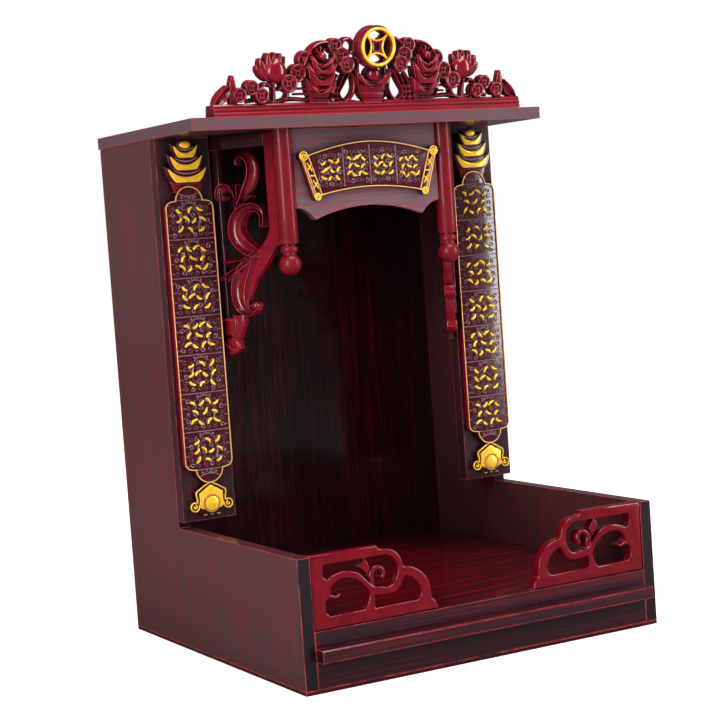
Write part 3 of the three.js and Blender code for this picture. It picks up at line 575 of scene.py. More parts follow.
# Columns
def stand_columns():
    """The two hanging columns: a shaft, a double ring and a ball, turned about an upright axis."""
    ball = 10.75
    neck = 6.4
    lean = math.acos(neck / ball)
    shaft_end = -108
    neck_end = shaft_end - 10.5
    centre = neck_end - ball * math.sin(lean)
    steps = 18
    profile = []
    for i in range(steps + 1):
        angle = -math.pi / 2 + (lean + math.pi / 2) * i / steps
        profile.append((max(ball * math.cos(angle), 0.01), centre + ball * math.sin(angle)))
    profile += [(neck, -116.2), (neck + 1.2, -115.9), (8.2, -114.9), (8.4, -113.2), (8.2, -111.6),
                (neck + 1.2, -110.5), (neck, -110.2), (neck, -108.4), (8.6, -108.2), (9.3, -107.6),
                (COLUMN_RADIUS, -106.6), (COLUMN_RADIUS, 0), (0.01, 0)]
    for name, side in (("left_column", -1), ("right_column", 1)):
        column = Carving([column_red])
        sides = 64
        vertices = [(r * math.cos(2 * math.pi * k / sides), r * math.sin(2 * math.pi * k / sides), z)
                    for r, z in profile for k in range(sides)]
        faces = []
        for i in range(len(profile) - 1):
            for k in range(sides):
                a, b = i * sides + k, i * sides + (k + 1) % sides
                faces.append((a, b, b + sides, a + sides))
        column.take(vertices, faces, 0)
        column.stand(name + "_turned", name, at=(side * COLUMN_X, COLUMN_Y, UNDER_ROOF))


# Corner frets
def carve_fret(side):
    """A pierced fret: three openings, a curled tendril, a bud and a small hook."""
    fret = Carving([fret_red])
    outline = ([(0, 0), (126.6, 0)] + bend((126, 2), (124, 9), (119.6, 11), 6) + arc(92.6, 16, 27, 0, 88, 20)
               + arc(75.6, 44.5, 16.5, 2, 96, 16) + [(68.5, 62.5), (66.5, 65.5), (0, 65.5)])
    upper = (flow([(12.5, 46), (16.5, 43), (22, 46), (34, 48), (46, 45), (52, 40), (58.5, 33)], 26)
             + flow([(62, 30), (69, 29), (75, 27.5), (82, 30), (86, 37), (86.5, 46), (82, 53), (75, 56)], 26)
             + [(14, 56), (12.5, 53)])
    left_crown = [(19, 32), (20, 36.5), (28, 41), (38, 41), (47, 37), (54, 30), (57, 25), (56, 19),
                  (53, 12.5)]
    low_left = flow(left_crown, 28) + [(51, 11), (17, 11), (13, 15), (13, 24), (19, 29)]
    right_crown = [(107.5, 12.5), (109.5, 18), (106, 27), (99, 33), (93.5, 34.5), (90, 28), (84, 22),
                   (76, 21), (62, 22)]
    low_right = [(62, 11), (105, 11)] + flow(right_crown, 28) + [(61.5, 17)]
    fret.plate(outline, FRET_THICK, holes=[upper, low_left, low_right], arris=1.6)
    fret.strap([(62, 24), (59.6, 30)] + curl(67.3, 39.4, 7.6, 5, 208, -40, 24), [8, 7, 6.2, 6, 5.8, 5],
               FRET_THICK - 0.4)
    fret.plate([(53.8, 57), (59.5, 47.5), (56.8, 39.5), (48.3, 49.5)], FRET_THICK - 0.6, arris=1.4)
    fret.strap(flow([(13, 30), (19, 28), (24, 26.5), (28, 28.5)], 12), [7, 5, 3.4, 2], FRET_THICK - 0.6)
    if side > 0:
        fret.mirror()
    name = "left_corner_fret" if side < 0 else "right_corner_fret"
    place = (side * FRET_EDGE, FRET_SETBACK + FRET_THICK, FRET_FOOT)
    fret.stand(name + "_carving", name, at=place)


# Brackets
def bracket_frame(bracket, thick):
    """The bracket's stiles and top rail, and the leaf blocks at the foot of the outer stile."""
    stile = ([(6.3, 0), (19, 0), (19, -92)] + bend((19, -92), (22, -103), (34, -112), 8)[1:]
             + bend((34, -112), (58, -128), (60, -150), 12)[1:] + [(57, -166), (49, -168)]
             + bend((49, -168), (47, -146), (29, -130), 10)[1:]
             + [(16.5, -115), (12.3, -108.5), (6.3, -108.5)])
    rail = [(19, 0), (84, 0), (84, -13), (19, -13)]
    outer = [(73, 0), (84, 0), (84, -219), (80, -213), (76, -204), (73, -180)]
    bracket.plate(stile, thick * 0.72, arris=0.8)
    # The top rail and the outer stile take the lacquer with painted shade, as they lie in shade.
    bracket.plate(rail, thick * 0.7, arris=0.6, material=IN_PAINTED_SHADE)
    bracket.plate(outer, thick * 0.66, arris=0.6, material=IN_PAINTED_SHADE)
    upper_block = ([(83, -176), (72, -175.5), (64, -176)] + bend((62, -178), (61.5, -188), (66, -192), 6)
                   + [(83, -192.5)])
    leaf = [(68, -172), (54, -173), (54.5, -181), (59, -190), (62.5, -198), (72, -198)]
    lower_block = [(83, -194), (68, -196), (62, -199), (61, -205), (64, -209), (72, -212), (83, -209)]
    bracket.plate(upper_block, thick, arris=1.4)
    bracket.plate(leaf, thick * 0.84, arris=2)
    bracket.plate(lower_block, thick - 0.6, arris=1.8)
    bracket.strap([(82, -198), (70, -206), (63, -206.5)], [2, 3, 1], thick, section=RIDGED)


def bracket_scrolls(bracket, thick):
    """The great scroll with its sprout, crook and tail, the balls in their eyes and the leaves between."""
    great = flow([(32, -115.5), (41, -111.5), (51, -104), (57, -94), (55, -81), (45, -72), (33, -71),
                  (26, -77), (26.5, -90)], 56)
    sprout = flow([(57, -71), (58, -60), (61, -53), (67, -49.5), (72.5, -52), (74, -58), (70.5, -61)], 34)
    crook = flow([(54, -71), (42, -53), (35.5, -41), (35, -29), (41, -20.5), (49, -19.5), (53.5, -25)], 38)
    tail = flow([(40, -116), (50, -129), (57, -143), (58.5, -156), (55, -166), (47, -170), (41, -166)], 44)
    bracket.strap(great, [8, 13, 15, 15, 13, 10, 8, 5, 3], thick, section=RIMMED)
    bracket.strap(sprout, [-2, -5, -7, -8, -7.5, -6, -3], thick * 0.94, section=LIPPED)
    bracket.turned(69.6, -59.6, dome(2.4, thick * 0.5, thick * 0.3), sides=24)
    bracket.strap(crook, [2, 5, 8, 8.5, 8, 6, 3.4], thick * 0.92, section=LIPPED)
    bracket.turned(52.4, -27, dome(2.6, thick * 0.5, thick * 0.3), sides=24)
    bracket.turned(41.6, -165, dome(4, thick * 0.6, thick * 0.28), sides=24)
    for line, widths, share in (
            ([(54.5, -71), (53.6, -59), (53.3, -47.5)], [3.4, 3, 1.2], 0.8),
            ([(53, -71), (45, -65), (37.5, -59)], [2.6, 3.4, 3], 0.8),
            ([(43, -119), (59, -121), (74, -122)], [3, 4.6, 6], 0.86),
            ([(43, -120), (61, -128), (79, -138)], [3, 5, 6], 0.92),
            ([(43, -121), (57, -131), (69, -139)], [3, 6, 8], 0.84)):
        bracket.strap(flow(line, 14), widths, thick * share, section=KEEL)
    bracket.strap(tail, [5, 13, 16.6, 17, 15, 11, 7], thick, section=RIMMED)


def carve_bracket(side):
    """A pierced bracket that runs from the column back to the inner edge of the post board."""
    bracket = Carving([crimson, shaded_lacquer])
    bracket_frame(bracket, BRACKET_THICK)
    bracket_scrolls(bracket, BRACKET_THICK)
    slant_x = POST_INNER - BRACKET_LAND - COLUMN_X
    slant_y = POST_FACE + POST_THICK / 2 - COLUMN_Y
    bracket.widen(math.hypot(slant_x, slant_y) / BRACKET_REACH)
    for v in bracket.mesh.verts:
        v.co.y += BRACKET_THICK / 2
        edge = (COLUMN_RADIUS + GAP) ** 2 - v.co.y ** 2
        if edge > 0:
            v.co.x = max(v.co.x, math.sqrt(edge))
    place = Matrix.Translation((COLUMN_X, 0, 0)) @ Matrix.Rotation(math.atan2(slant_y, slant_x), 4, "Z")
    bmesh.ops.transform(bracket.mesh, matrix=place, verts=bracket.mesh.verts)
    for v in bracket.mesh.verts:
        if v.co.y + COLUMN_Y > POST_FACE - GAP:
            v.co.x = min(v.co.x, POST_INNER - GAP)
    if side < 0:
        bracket.mirror()
    name = "left_bracket" if side < 0 else "right_bracket"
    bracket.stand(name + "_carving", name, at=(0, COLUMN_Y, UNDER_ROOF))


# Plaques
def brush_strokes(carving, cx, cz, width, height, seed, weight=1.0):
    """Rows of short bold strokes at set slants. They spell nothing."""
    slants = [34, -40, 52, -30, 44, -50, 28, -36, 56, -26, 40]
    for row in range(3):
        spots = 3 + (row + seed) % 2
        for column in range(spots):
            k = row * 4 + column + seed * 3
            x = cx + width * ((column + 0.5) / spots - 0.5) + ((k * 5) % 3 - 1) * 0.5
            z = cz + height * (0.33 - 0.33 * row) + ((k * 7) % 3 - 1) * 0.7
            slant = math.radians(slants[k % len(slants)])
            half = height * (0.11 + 0.014 * (k % 3))
            dx, dz = math.cos(slant) * half, math.sin(slant) * half
            bow = 1.1 * (1 if k % 2 else -1)
            middle = (x - bow * math.sin(slant), z + bow * math.cos(slant))
            line = flow([(x - dx, z - dz), middle, (x + dx, z + dz)], 8)
            widths = [share * weight for share in (1.8, 2.7, 2.5, 1.2)]
            carving.strap(line, widths, 2.7, back=PLATE - 0.6, material=GILT, heights=(0.8, 1, 0.95, 0.7))


def ingot(half, tip, foot, dip=0.58, steps=16, belly=0.94):
    """Outline of a boat-shaped ingot seen from the front."""
    depth = tip - foot
    rim = bend((half, tip), (0, tip - depth * dip * 2), (-half, tip), steps)
    hull = bend((-half, tip), (-half * belly, foot + depth * 0.16), (-half * 0.56, foot), steps // 2)
    return rim + hull[1:] + flipped(hull)[:-1]


def low_swirls(carving, cx, cz, width, height, columns, rows, seed):
    """The ground behind the strokes: small curls set in rows, each turned a little further."""
    for row in range(rows):
        for column in range(columns):
            x = cx + width * ((column + 0.5) / columns - 0.5)
            z = cz + height * ((row + 0.5) / rows - 0.5)
            start = (seed * 37 + row * 83 + column * 131) % 360
            # One curl in three takes the lighter tone as a painted glint.
            tone = GLINT_TONE if (row * 2 + column + seed) % 3 == 0 else 0
            line = curl(x, z, 2.7, 0.7, start, start + 330, 9)
            carving.strap(line, [1, 1, 1.3], 1.2, back=GROUND, section=LOW, material=tone)


def cell_ground(carving, cx, cz, half_width, height, seed):
    """Low relief of one cell: curls, a ring, an arch with dots under the rib, and ticks at both edges."""
    low_swirls(carving, cx, cz - 1.5, half_width * 1.66, height * 0.84, 6, 5, seed)
    carving.strap(arc(cx, cz, 10.5, 0, 360, 30), [1], 1.1, back=GROUND, section=LOW)
    top = cz + height / 2
    # The arch, the dots and the edge ticks take the lighter tone as painted glints.
    carving.strap(arc(cx, top - 12, 9.5, 40, 140, 12), [1], 1.2, back=GROUND, section=LOW, material=GLINT_TONE)
    for x, drop, size in ((-6.5, 2.8, 1.2), (0, 1.6, 0.9), (6.5, 2.8, 1.2), (-3, 1.5, 0.7), (3, 1.5, 0.7)):
        carving.turned(cx + x, top - drop, dome(size, PLATE, 0.9, 3), sides=10, material=GLINT_TONE)
    for k in range(4):
        z = cz + height * (k - 1.5) / 4
        for side in (-1, 1):
            ends = [(cx + side * (half_width - 2.2), z), (cx + side * (half_width - 5), z)]
            carving.strap(ends, [1, 0.6], 1, back=GROUND, section=LOW, material=GLINT_TONE)


def plaque_ingot(plaque, half, tip, foot, height):
    """A dark ingot with a gilt crescent for its hull and a glint in its dish."""
    plaque.plate(ingot(half + 0.8, tip + 1, foot - 1.3, 0.22), height, arris=0.6)
    crescent = ingot(half - 1.4, tip - 0.6, foot + 0.3, 0.64, belly=0.8)
    plaque.plate(crescent, height + 1, back=height - 1.5, arris=0.8, material=GILT)
    depth = tip - foot
    brim = bend((half - 2.4, tip - 1.6), (0, tip - depth * 1.46), (2.4 - half, tip - 1.6), 18)
    plaque.strap(brim, [0.8, 1.5, 1.8, 1.5, 0.8], 1, back=height + 0.7, material=GILT)
    lip_half, lip_top = half * 0.62, tip - depth * 0.2
    lip = bend((lip_half, lip_top), (0, tip - depth * 0.62), (-lip_half, lip_top), 14)
    # The lip is a painted glint in the dark dish.
    plaque.strap(lip, [0.3, 1, 1.3, 1, 0.3], 0.7, back=height - 0.2, section=LOW, material=GLINT_TONE)


def pendant(plaque, tip):
    """The gilt drop under a couplet: an eaved field, a beaded disc and two curls."""
    eaves = both_sides([(0, tip + 2), (16.5, tip - 7.5), (15, tip - 15), (17.5, tip - 26), (9, tip - 30)])
    plaque.plate(eaves, PLATE - 0.6, arris=0.5)
    field = both_sides([(0, tip - 2), (12.4, tip - 9.6), (12, tip - 16), (13.4, tip - 22.5), (9, tip - 25)])
    plaque.plate(field, PLATE + 0.4, back=PLATE - 2, arris=0.4, material=GILT)
    curl_x, curl_z, curl_radius = 17.6, tip - 22, 4.3
    button = [(0.01, 0), (4.6, 0), (4.6, PLATE - 0.5), (0.01, PLATE - 0.5)]
    for side in (-1, 1):
        loop = arc(curl_x, curl_z, curl_radius, 128, -196, 30)
        line = [(0, tip + 0.8), (7.4, tip - 3), (15, tip - 7.6), (15.8, tip - 9.6), (14.6, tip - 15.6)] + loop
        plaque.strap([(side * x, z) for x, z in line], [1.2], 1.9, back=PLATE - 1, material=GILT)
        plaque.turned(side * curl_x, curl_z, button, sides=24)
        hook = curl(curl_x, curl_z, 2.2, 0.6, 100, 400, 16)
        plaque.strap([(side * x, z) for x, z in hook], [1.2, 1.6], 1.6, back=PLATE - 0.8, material=GILT)
    disc_z = tip - 20
    plaque.turned(0, disc_z, [(0.01, 0), (8.9, 0), (8.9, PLATE + 0.6), (0.01, PLATE + 0.6)])
    plaque.turned(0, disc_z, [(0.01, 0), (7, 0), (7, PLATE + 0.9), (6.2, PLATE + 1.3), (0.01, PLATE + 1.4)],
                  material=GILT)
    beads, bead_ring = 26, 8
    for k in range(beads):
        angle = 2 * math.pi * k / beads
        x, z = bead_ring * math.cos(angle), disc_z + bead_ring * math.sin(angle)
        plaque.turned(x, z, dome(0.7, PLATE + 0.5, 0.7, 2), sides=8, material=PALE_GILT)
    for x in (-7, 0, 7):
        tick = [(x - 1.6, tip - 30.8), (x + 1.6, tip - 30.8)]
        plaque.strap(tick, [0.8], 0.8, back=PLATE - 1.6, material=PALE_GILT)


def framed_field(plaque, outline):
    """The ground of a plaque: crimson walls, a burgundy field and a thin pale gold line along its rim."""
    rim_top = PLATE + RELIEF
    inside = [inset(outline, BORDER)]
    plaque.plate(outline, PLATE - 0.1, arris=0.3, material=WALL)
    plaque.plate(inset(outline, BORDER * 0.5), PLATE, back=PLATE - 1, arris=0.1)
    plaque.plate(outline, rim_top - 0.4, back=PLATE - 1, holes=inside, arris=0.1, material=WALL)
    plaque.plate(outline, rim_top, back=rim_top - 0.5, holes=inside, arris=0.24, material=PALE_GILT)


def carve_couplet(side):
    """A tall plaque: seven cells in a shouldered frame, three stacked ingots above and a pendant below."""
    plaque = Carving(PLAQUE_FINISHES)
    top = TALL_FOOT + TALL_CELL * TALL_CELLS
    shoulder = bend((TALL_ARCH, top), (TALL_HALF, top), (TALL_HALF, top - 8), 8)
    low = bend((TALL_HALF, TALL_FOOT + 8), (TALL_HALF, TALL_FOOT), (TALL_ARCH, TALL_FOOT), 8)
    outline = both_sides(arc(0, top - 1, TALL_ARCH, 88, 4, 12) + shoulder + low
                         + arc(0, TALL_FOOT + 1, TALL_ARCH, -4, -88, 12))
    framed_field(plaque, outline)
    for i in range(TALL_CELLS + 1):
        z = TALL_FOOT + TALL_CELL * i
        reach = TALL_HALF - 1 if 0 < i < TALL_CELLS else TALL_ARCH - 1
        # The ribs take the lighter tone as painted glints.
        plaque.strap([(-reach, z), (reach, z)], [1], 1.3, back=PLATE - 0.3, section=LOW, material=GLINT_TONE)
    for i in range(TALL_CELLS):
        middle = TALL_FOOT + TALL_CELL * (i + 0.5)
        cell_ground(plaque, 0, middle, TALL_HALF, TALL_CELL, i)
        brush_strokes(plaque, 0, middle, 32, 28, i + (3 if side > 0 else 0))
    for z, way in ((top, 1), (TALL_FOOT, -1)):
        swag = bend((-9.5, z + 6.5 * way), (0, z + 1.5 * way), (9.5, z + 6.5 * way), 14)
        # The swag and its dots take the lighter tone as painted glints.
        plaque.strap(swag, [1], 1.2, back=GROUND, section=LOW, material=GLINT_TONE)
        for x in (-7, 7):
            plaque.turned(x, z + 3 * way, dome(1.3, PLATE, 0.9, 3), sides=10, material=GLINT_TONE)
        low_swirls(plaque, 0, z + 2.6 * way, 9, 3, 2, 1, 5)
    cap = top + TALL_ARCH - 1
    stem = [(-10, top), (10, top), (7.5, cap + 43), (-7.5, cap + 43)]
    plaque.plate(stem, PLATE - 1.5, arris=0.4)
    keel = [(-13.5, top + 8), (13.5, top + 8), (19.4, cap + 12), (-19.4, cap + 12)]
    plaque.plate(keel, PLATE - 0.6, arris=0.5, material=WALL)
    for i, (half, tip, foot) in enumerate([(21.5, 17.8, 3.4), (18.2, 29.5, 15.2), (14.1, 39.5, 27)]):
        plaque_ingot(plaque, half, cap + tip, cap + foot, PLATE + 0.8 + 0.3 * (2 - i))
    plaque.turned(0, cap + 38.6, dome(7.4, PLATE - 1, 1.6), squash=0.66)
    plaque.turned(0, cap + 39.4, dome(5.8, PLATE, 2.9), material=GILT, squash=0.6)
    pendant(plaque, TALL_FOOT + 1 - TALL_ARCH)
    name = "left_couplet_plaque" if side < 0 else "right_couplet_plaque"
    plaque.stand(name + "_relief", name, at=(side * POST_CENTRE, POST_FACE - GAP, 0))


def banner_end(plaque, side, high_end, low_end, strip_width, roll):
    """One rolled end of the banner: a strip with crosses between gilt lines, and a roll at either end."""
    line = [(side * (high_end[0] - 2), high_end[1]), (side * (low_end[0] - 2), low_end[1] + 1)]
    plaque.strap(line, [strip_width], 2.2, back=PLATE - 1.2, section=LOW)
    for offset in (-3.2, 3.2):
        plaque.strap(shifted(line, side * offset, 0), [0.9], 1.4, back=PLATE, material=PALE_GILT)
    for share in (0.28, 0.5, 0.72):
        x = line[0][0] + (line[1][0] - line[0][0]) * share
        z = line[0][1] + (line[1][1] - line[0][1]) * share
        if share == 0.5:
            plaque.strap([(x - 3.2, z), (x + 3.2, z)], [1.2], 1.6, back=PLATE, material=GILT)
            continue
        for slant in (50, 130):
            dx, dz = 4.2 * math.cos(math.radians(slant)), 5.4 * math.sin(math.radians(slant))
            cross = bend((x - dx, z - dz), (x + 0.8, z), (x + dx, z + dz), 6)
            plaque.strap(cross, [0.7, 1.5, 0.7], 1.6, back=PLATE, material=GILT)
    for (cx, cz), size in ((high_end, roll), (low_end, roll * 0.8)):
        plaque.turned(side * cx, cz, [(0.01, 0), (size, 0), (size, PLATE + 1), (size - 0.4, PLATE + 1.5),
                                      (size - 1.1, PLATE + 1.5), (size - 1.4, PLATE + 1),
                                      (0.01, PLATE + 0.8)], sides=32)
        for inner, thick in ((size - 0.7, 1.2), (size * 0.42, 1)):
            ring = arc(side * cx, cz, inner, 0, 360, 28)
            plaque.strap(ring, [thick], 1, back=PLATE + 0.8, material=GILT)


def carve_banner():
    """The banner plaque: a fan-shaped field of four cells between two rolled ends."""
    plaque = Carving(PLAQUE_FINISHES)
    top, bow_top, bow_foot, strip_width, roll = FAN_HEIGHT, 11, 7, 7.5, 4.7
    upper = bend((FAN_HALF_TOP - 6, top), (FAN_HALF_TOP * 0.4, top + bow_top), (0, top + bow_top), 18)
    lower = bend((0, bow_foot), (FAN_HALF_FOOT * 0.5, bow_foot), (FAN_HALF_FOOT, 0), 18)
    high_end, low_end = (FAN_HALF_TOP, top - 1), (FAN_HALF_FOOT, 0)
    end = [(high_end[0] + 3.5, high_end[1] + 1), (low_end[0] + 3.5, -1)]
    framed_field(plaque, both_sides(upper[::-1] + end + lower[::-1]))
    for side in (-1, 1):
        banner_end(plaque, side, high_end, low_end, strip_width, roll)
    cell = (FAN_HALF_TOP + FAN_HALF_FOOT - 2 * strip_width) / 4

    def bow(x):
        return (bow_top + bow_foot) / 2 * (1 - (x / FAN_HALF_TOP) ** 2)

    for i in (-1, 0, 1):
        x = cell * i
        rib = [(x, bow(x) + 1), (x, bow(x) + top - 2)]
        # The ribs take the lighter tone as painted glints.
        plaque.strap(rib, [1], 1.3, back=PLATE - 0.3, section=LOW, material=GLINT_TONE)
    for i in range(4):
        x = cell * (i - 1.5)
        middle = bow(x) + top / 2 - 1
        low_swirls(plaque, x, middle, cell * 0.9, top * 0.82, 5, 6, i + 1)
        plaque.strap(arc(x, middle, 9, 0, 360, 26), [1], 0.95, back=GROUND, section=LOW)
        brush_strokes(plaque, x, middle, 22, 23, i + 2, 0.78)
    plaque.stand("banner_relief", "banner_plaque", at=(0, HEADER_FACE - GAP, FAN_FOOT))


# Crest
def crest_coin(crest, x, z, radius, height):
    """A small coin with a raised rim, a square eye and four ribs."""
    crest.turned(x, z, [(0.01, 0), (radius, 0), (radius, height - 0.9), (radius - 0.3, height - 0.3),
                        (radius - 0.9, height), (radius - 1.5, height), (radius - 2.1, height - 0.5),
                        (radius - 2.6, height - 2), (radius * 0.4, height - 2.4), (0.01, height - 2.4)])
    crest.plate(square(x, z, 2.6), height - 0.8, back=height - 3.2, arris=0.25, holes=[square(x, z, 1.5)])
    for quarter in range(4):
        angle = math.radians(45 + 90 * quarter)
        ends = [(x + r * math.cos(angle), z + r * math.sin(angle)) for r in (3.2, radius - 2)]
        crest.strap(ends, [1], 1.3, back=height - 2.6, section=LOW)


def crest_petal(crest, foot, tip, width, height):
    """A slightly bent petal that narrows at both ends."""
    middle = ((foot[0] + tip[0]) / 2 + (tip[1] - foot[1]) * 0.06, (foot[1] + tip[1]) / 2)
    widths = [width * share for share in (0.5, 0.8, 0.96, 1, 0.98, 0.84, 0.3)]
    crest.strap(flow([foot, middle, tip], 14), widths, height, heights=(0.8, 0.92, 1, 1, 1, 0.96, 0.85))


def crest_lotus(crest):
    """A lotus flower: six outer petals behind a full front one."""
    for foot, tip, width, height in (
            ((111, 22), (122, 35), 7.5, 8), ((95.5, 24), (92.4, 43.5), 6, 8),
            ((109, 22), (118.4, 42), 8.5, 9.4), ((104, 24), (103, 47.5), 7, 8.6),
            ((106.5, 22), (110.4, 47), 8.5, 10.6), ((99, 24), (97.6, 46.5), 8, 10.8)):
        crest_petal(crest, foot, tip, width, height)
    crest.strap(flow([(103.6, 18.5), (103, 26), (102.6, 33), (102.6, 41.5)], 22),
                [6, 15, 20.6, 23, 23.4, 22, 18.6, 12.4, 4], 14.4,
                heights=(0.5, 0.8, 0.94, 1, 1, 0.98, 0.94, 0.86, 0.7))


def crest_ingot(crest, cx, half, tip, foot, dip, height, cup):
    """A boat-shaped ingot with its dish sunk behind the front lip."""
    outline = shifted(ingot(half, tip, foot, dip, 20), cx, 0)
    low = tip - (tip - foot) * dip * 2 - 2.6
    right, left = (cx + half * 0.84, tip - 2.2), (cx - half * 0.84, tip - 2.2)
    crescent = bend(right, (cx, low), left, 16) + bend(left, (cx, low - cup * 1.8), right, 16)[1:-1]
    crest.plate(outline, height - 2.6, arris=0.6)
    crest.plate(outline, height, back=height - 4, holes=[crescent], arris=0.7)


def ingot_stack(crest, cx):
    """Three ingots in a stack, with a curved rim behind them and a ball in the top one."""
    crest.plate([(cx - 10.5, -1), (cx + 10.5, -1), (cx + 13, 14), (cx - 13, 14)], 10, arris=1)
    for i, (half, tip, foot) in enumerate([(15.3, 22, 3), (13.6, 33, 16), (10.4, 41, 27)]):
        crest_ingot(crest, cx, half, tip, foot, 0.4, 15 + i * 2, 3.6)
    rim = bend((cx + 17, 36), (cx + 10, 58), (cx - 8, 57), 14)
    crest.plate(rim + [(cx - 8, 4), (cx + 8, 4)], 5, arris=1)
    crest.strap(shifted(rim, -0.8, -0.8), [3.4], 11)
    crest.turned(cx, 43, dome(4.4, 14, 5.6))
    for lean in (-40, 0, 40):
        dx, dz = math.sin(math.radians(lean)) * 6, math.cos(math.radians(lean)) * 6
        flame = [(cx + dx * across, 44 + dz * up) for across, up in ((0.5, 0.5), (0.9, 1), (1.1, 1.35))]
        crest.strap(flame, [1, 3.4, 1], 13)


def coin_with_eye(crest, centre):
    """The great coin: a deep crimson body with a gilt ring and four gilt bows round a square eye."""
    holes = []
    bows = []
    segment = arc(0, 0, 15.2, 52, 128, 12) + bend((-8.8, 10.6), (0, 3.2), (8.8, 10.6), 10)[1:-1]
    bow = bend((-11.6, 11.6), (0, 0.4), (11.6, 11.6), 16)
    for quarter in range(4):
        angle = math.pi / 2 * quarter
        cos, sin = math.cos(angle), math.sin(angle)
        for line, kept in ((segment, holes), (bow, bows)):
            kept.append([(x * cos - z * sin, centre + x * sin + z * cos) for x, z in line])
    holes.append(square(0, centre, 3.4))
    body, rim, opening = (arc(0, centre, radius, 0, 354, 59) for radius in (20.3, 18.4, 16))
    crest.plate(body, 18, back=6, holes=holes, arris=0.5)
    crest.plate(rim, 21.8, back=6, holes=[opening], arris=0.6)
    crest.strap(arc(0, centre, 17.1, 0, 360, 72), [2.6], 2.6, back=20.2, material=GILT)
    for line in bows:
        crest.strap(line, [1.7], 1.8, back=17.2, material=GILT)


def crest_half(crest):
    """The right half of the pierced carving, from its outer leaf to the stems beside the middle ingot."""
    crest.strap(flow([(166, 0), (162, 4), (156, 9), (151, 17)], 16), [3, 9, 12, 10, 5], 9, section=CHANNEL)
    bud = bend((149.5, -1), (152.5, 15), (148.4, 27), 10) + bend((145.6, 27), (142.5, 15), (142, -1), 10)
    crest.plate(bud, 8, arris=1.2)
    for x, z, radius, height in (
            (141.2, 9, 7, 12), (128.1, 15.5, 7.2, 10), (118.7, 8, 7.2, 12.4), (90, 18.6, 8.6, 12),
            (80, 28, 8.6, 10.4), (71.2, 40, 8.8, 9.6), (40.5, 52.5, 7.6, 10), (34.5, 43, 8.6, 12),
            (29.5, 35, 8.2, 13.6)):
        crest_coin(crest, x, z, radius, height)
    ingot_stack(crest, 57.5)
    crest.strap(flow([(104, -1), (104, 10), (105, 22)], 8), [5, 4, 5], 8)
    crest.strap(curl(112, 14, 6, 4, -60, 150, 16), [4, 4, 3], 9)
    crest.strap(curl(96, 10, 6.5, 4.5, 240, 30, 16), [4, 4, 3], 9)
    crest.strap(flow([(132, 3), (118, 4), (104, 1), (88, 4), (70, 3)], 24), [4, 5, 4], 7)
    for x in (75.5, 41.5):
        for z in (3.5, 8.5, 13.5):
            crest.strap([(x + 6.5, z), (x - 6.5, z)], [2.4], 7.6)
    crest.strap(curl(25.5, 52, 7.5, 6.5, -70, 250, 26), [3.6, 4.4, 4, 3.4], 9)
    crest.strap(flow([(33, 48), (25, 34), (31, 20), (37, 8), (31, 0)], 26), [5, 6, 6.5, 5.5, 5], 9,
                section=CHANNEL)
    crest.strap(flow([(30, 34), (21, 26), (18.5, 14), (22, 5), (28, 0)], 22), [4, 5, 4.6, 4.4, 5], 8.4)
    crest.strap(flow([(37, 26), (42, 17), (44, 0)], 12), [5, 5, 4], 7.6)
    crest.strap([(15, 22), (15, 40), (14.6, 58)], [4.6, 4, 5.6], 9)
    for z in (41.5, 44.5):
        crest.strap([(11.6, z), (18.4, z)], [1.3], 10.4)
    crest.strap([(50, 0), (29, 0), (16, 0)], [3.2], 7)
    crest_lotus(crest)


def crest_rail(crest):
    """The moulded rail that carries the carving."""
    rib = CREST_RAIL / 6
    section = [(0, 0), (0, rib * 1.4), (0.3, rib * 1.6), (1.2, rib * 1.75), (1.4, rib * 2), (0.6, rib * 2.4),
               (0.4, rib * 3), (0.6, rib * 3.6), (1.8, rib * 3.8), (1.4, rib * 4.3), (1.3, rib * 4.9),
               (1.6, rib * 5.3), (2.6, rib * 5.9), (2.9, CREST_RAIL), (19, CREST_RAIL), (21, 0)]
    vertices = [(x, y, z) for x in (-CREST_HALF, CREST_HALF) for y, z in section]
    count = len(section)
    faces = [(k, (k + 1) % count, (k + 1) % count + count, k + count) for k in range(count)]
    faces += [tuple(range(count)), tuple(range(2 * count - 1, count - 1, -1))]
    crest.take(vertices, faces, 0, smooth=False)


def carve_crest():
    """The crest: two mirrored halves, the middle ingot and the great coin, leaning on a rail."""
    crest = Carving([crimson, gilt])
    crest_half(crest)
    crest.echo()
    crest_ingot(crest, 0, 18.8, 30, 2, 0.42, 12.5, 3)
    crest.turned(0, 25.5, dome(7.6, 9, 7.6, 10), sides=48)
    crest.plate([(-9, -1), (9, -1), (12, 8), (-12, 8)], 11, arris=1)
    coin_with_eye(crest, 51.5)
    lean = Matrix.Rotation(math.radians(CREST_LEAN), 3, "X")
    bmesh.ops.rotate(crest.mesh, cent=(0, 0, 0), matrix=lean, verts=crest.mesh.verts)
    bmesh.ops.translate(crest.mesh, vec=(0, 12, CREST_RAIL), verts=crest.mesh.verts)
    crest_rail(crest)
    crest.stand("crest_carving", "crest", at=(0, CREST_FRONT, CREST_FOOT))


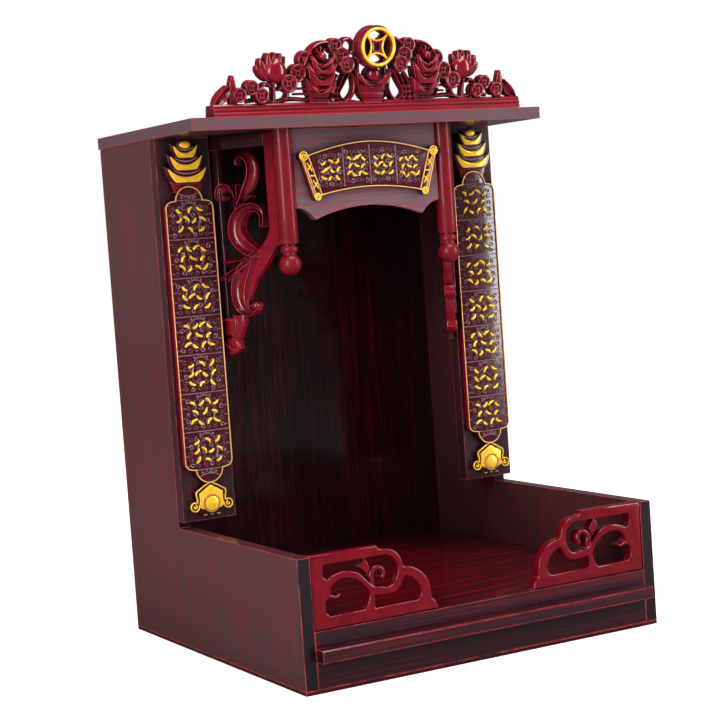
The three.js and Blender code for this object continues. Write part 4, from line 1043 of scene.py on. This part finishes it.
# Camera, floor and light
def set_camera():
    """The camera of the photograph, turned about the part and rolled a little."""
    azimuth, elevation, roll = (math.radians(a) for a in (CAMERA_AZIMUTH, CAMERA_ELEVATION, CAMERA_ROLL))
    back = Vector((math.sin(azimuth) * math.cos(elevation), -math.cos(azimuth) * math.cos(elevation),
                   math.sin(elevation)))
    right = Vector((0, 0, 1)).cross(back).normalized()
    up = back.cross(right)
    turned_right = right * math.cos(roll) + up * math.sin(roll)
    turned_up = up * math.cos(roll) - right * math.sin(roll)
    camera = bpy.data.objects.new("camera", bpy.data.cameras.new("camera"))
    camera.data.sensor_width = 36
    camera.data.lens = CAMERA_LENS
    camera.data.clip_start = 0.05
    place = Matrix((turned_right, turned_up, back)).transposed().to_4x4()
    place.translation = CAMERA_PLACE
    camera.matrix_world = place
    bpy.context.scene.collection.objects.link(camera)
    bpy.context.scene.camera = camera


def soft_box(name, place, width, height, power):
    """A soft light box that looks at the middle of the part."""
    aim = Vector((0, 0, 0.3))
    light = bpy.data.lights.new(name, "AREA")
    light.shape = "RECTANGLE"
    light.size = width
    light.size_y = height
    light.energy = power
    holder = bpy.data.objects.new(name, light)
    holder.location = place
    holder.rotation_mode = "QUATERNION"
    holder.rotation_quaternion = (aim - Vector(place)).to_track_quat("-Z", "Y")
    bpy.context.scene.collection.objects.link(holder)


def set_floor():
    """A plain pale floor that shows little in the lacquer."""
    material, tree, shader = new_material("pale floor")
    place = node(tree, "TexCoord")
    grain = noise(tree, place.outputs["Object"], Scale=3, Detail=2)
    tone = mixed(tree, spread(tree, grain, 0.3, 0.7), (0.99, 0.99, 0.99, 1), (0.97, 0.97, 0.97, 1))
    rays = node(tree, "LightPath")
    dimmed = mixed(tree, rays.outputs["Is Glossy Ray"], tone, (0.08, 0.075, 0.08, 1))
    glow = node(tree, "MapRange", {"Value": rays.outputs["Is Camera Ray"], "To Min": 0.0, "To Max": 0.5})
    wire(tree, shader, {"Base Color": dimmed, "Roughness": 0.85, "Emission Color": (1, 1, 1, 1),
                        "Emission Strength": glow.outputs["Result"]})
    data = bpy.data.meshes.new("floor")
    reach = 6.0
    data.from_pydata([(-reach, -reach, 0), (reach, -reach, 0), (reach, reach, 0), (-reach, reach, 0)], [],
                     [(0, 1, 2, 3)])
    data.materials.append(material)
    floor = bpy.data.objects.new("floor", data)
    bpy.context.scene.collection.objects.link(floor)


def set_studio():
    """Even daylight around the part, dim where the lacquer mirrors it, and three soft boxes."""
    world = bpy.data.worlds.new("studio")
    bpy.context.scene.world = world
    world.use_nodes = True
    sky = world.node_tree
    rays = node(sky, "LightPath")
    cast = node(sky, "MapRange", {"Value": rays.outputs["Is Glossy Ray"], "To Min": 0.62, "To Max": 0.12})
    seen = node(sky, "MapRange", {"Value": rays.outputs["Is Camera Ray"], "To Min": cast.outputs["Result"],
                                  "To Max": 1.0})
    background = sky.nodes["Background"]
    background.inputs["Color"].default_value = (1, 1, 1, 1)
    sky.links.new(seen.outputs["Result"], background.inputs["Strength"])
    soft_box("left soft box", (-1.9, -1.2, 0.85), 0.55, 1.6, 44)
    soft_box("right soft box", (1.75, -1.4, 0.85), 0.4, 1.6, 32)
    soft_box("overhead soft box", (0.1, -0.5, 1.7), 1.0, 0.8, 24)
    bpy.context.scene.view_settings.view_transform = "Standard"


dress_boards()
stand_columns()
for hand in (-1, 1):
    carve_fret(hand)
    carve_bracket(hand)
    carve_couplet(hand)
carve_banner()
carve_crest()
set_camera()
set_floor()
set_studio()
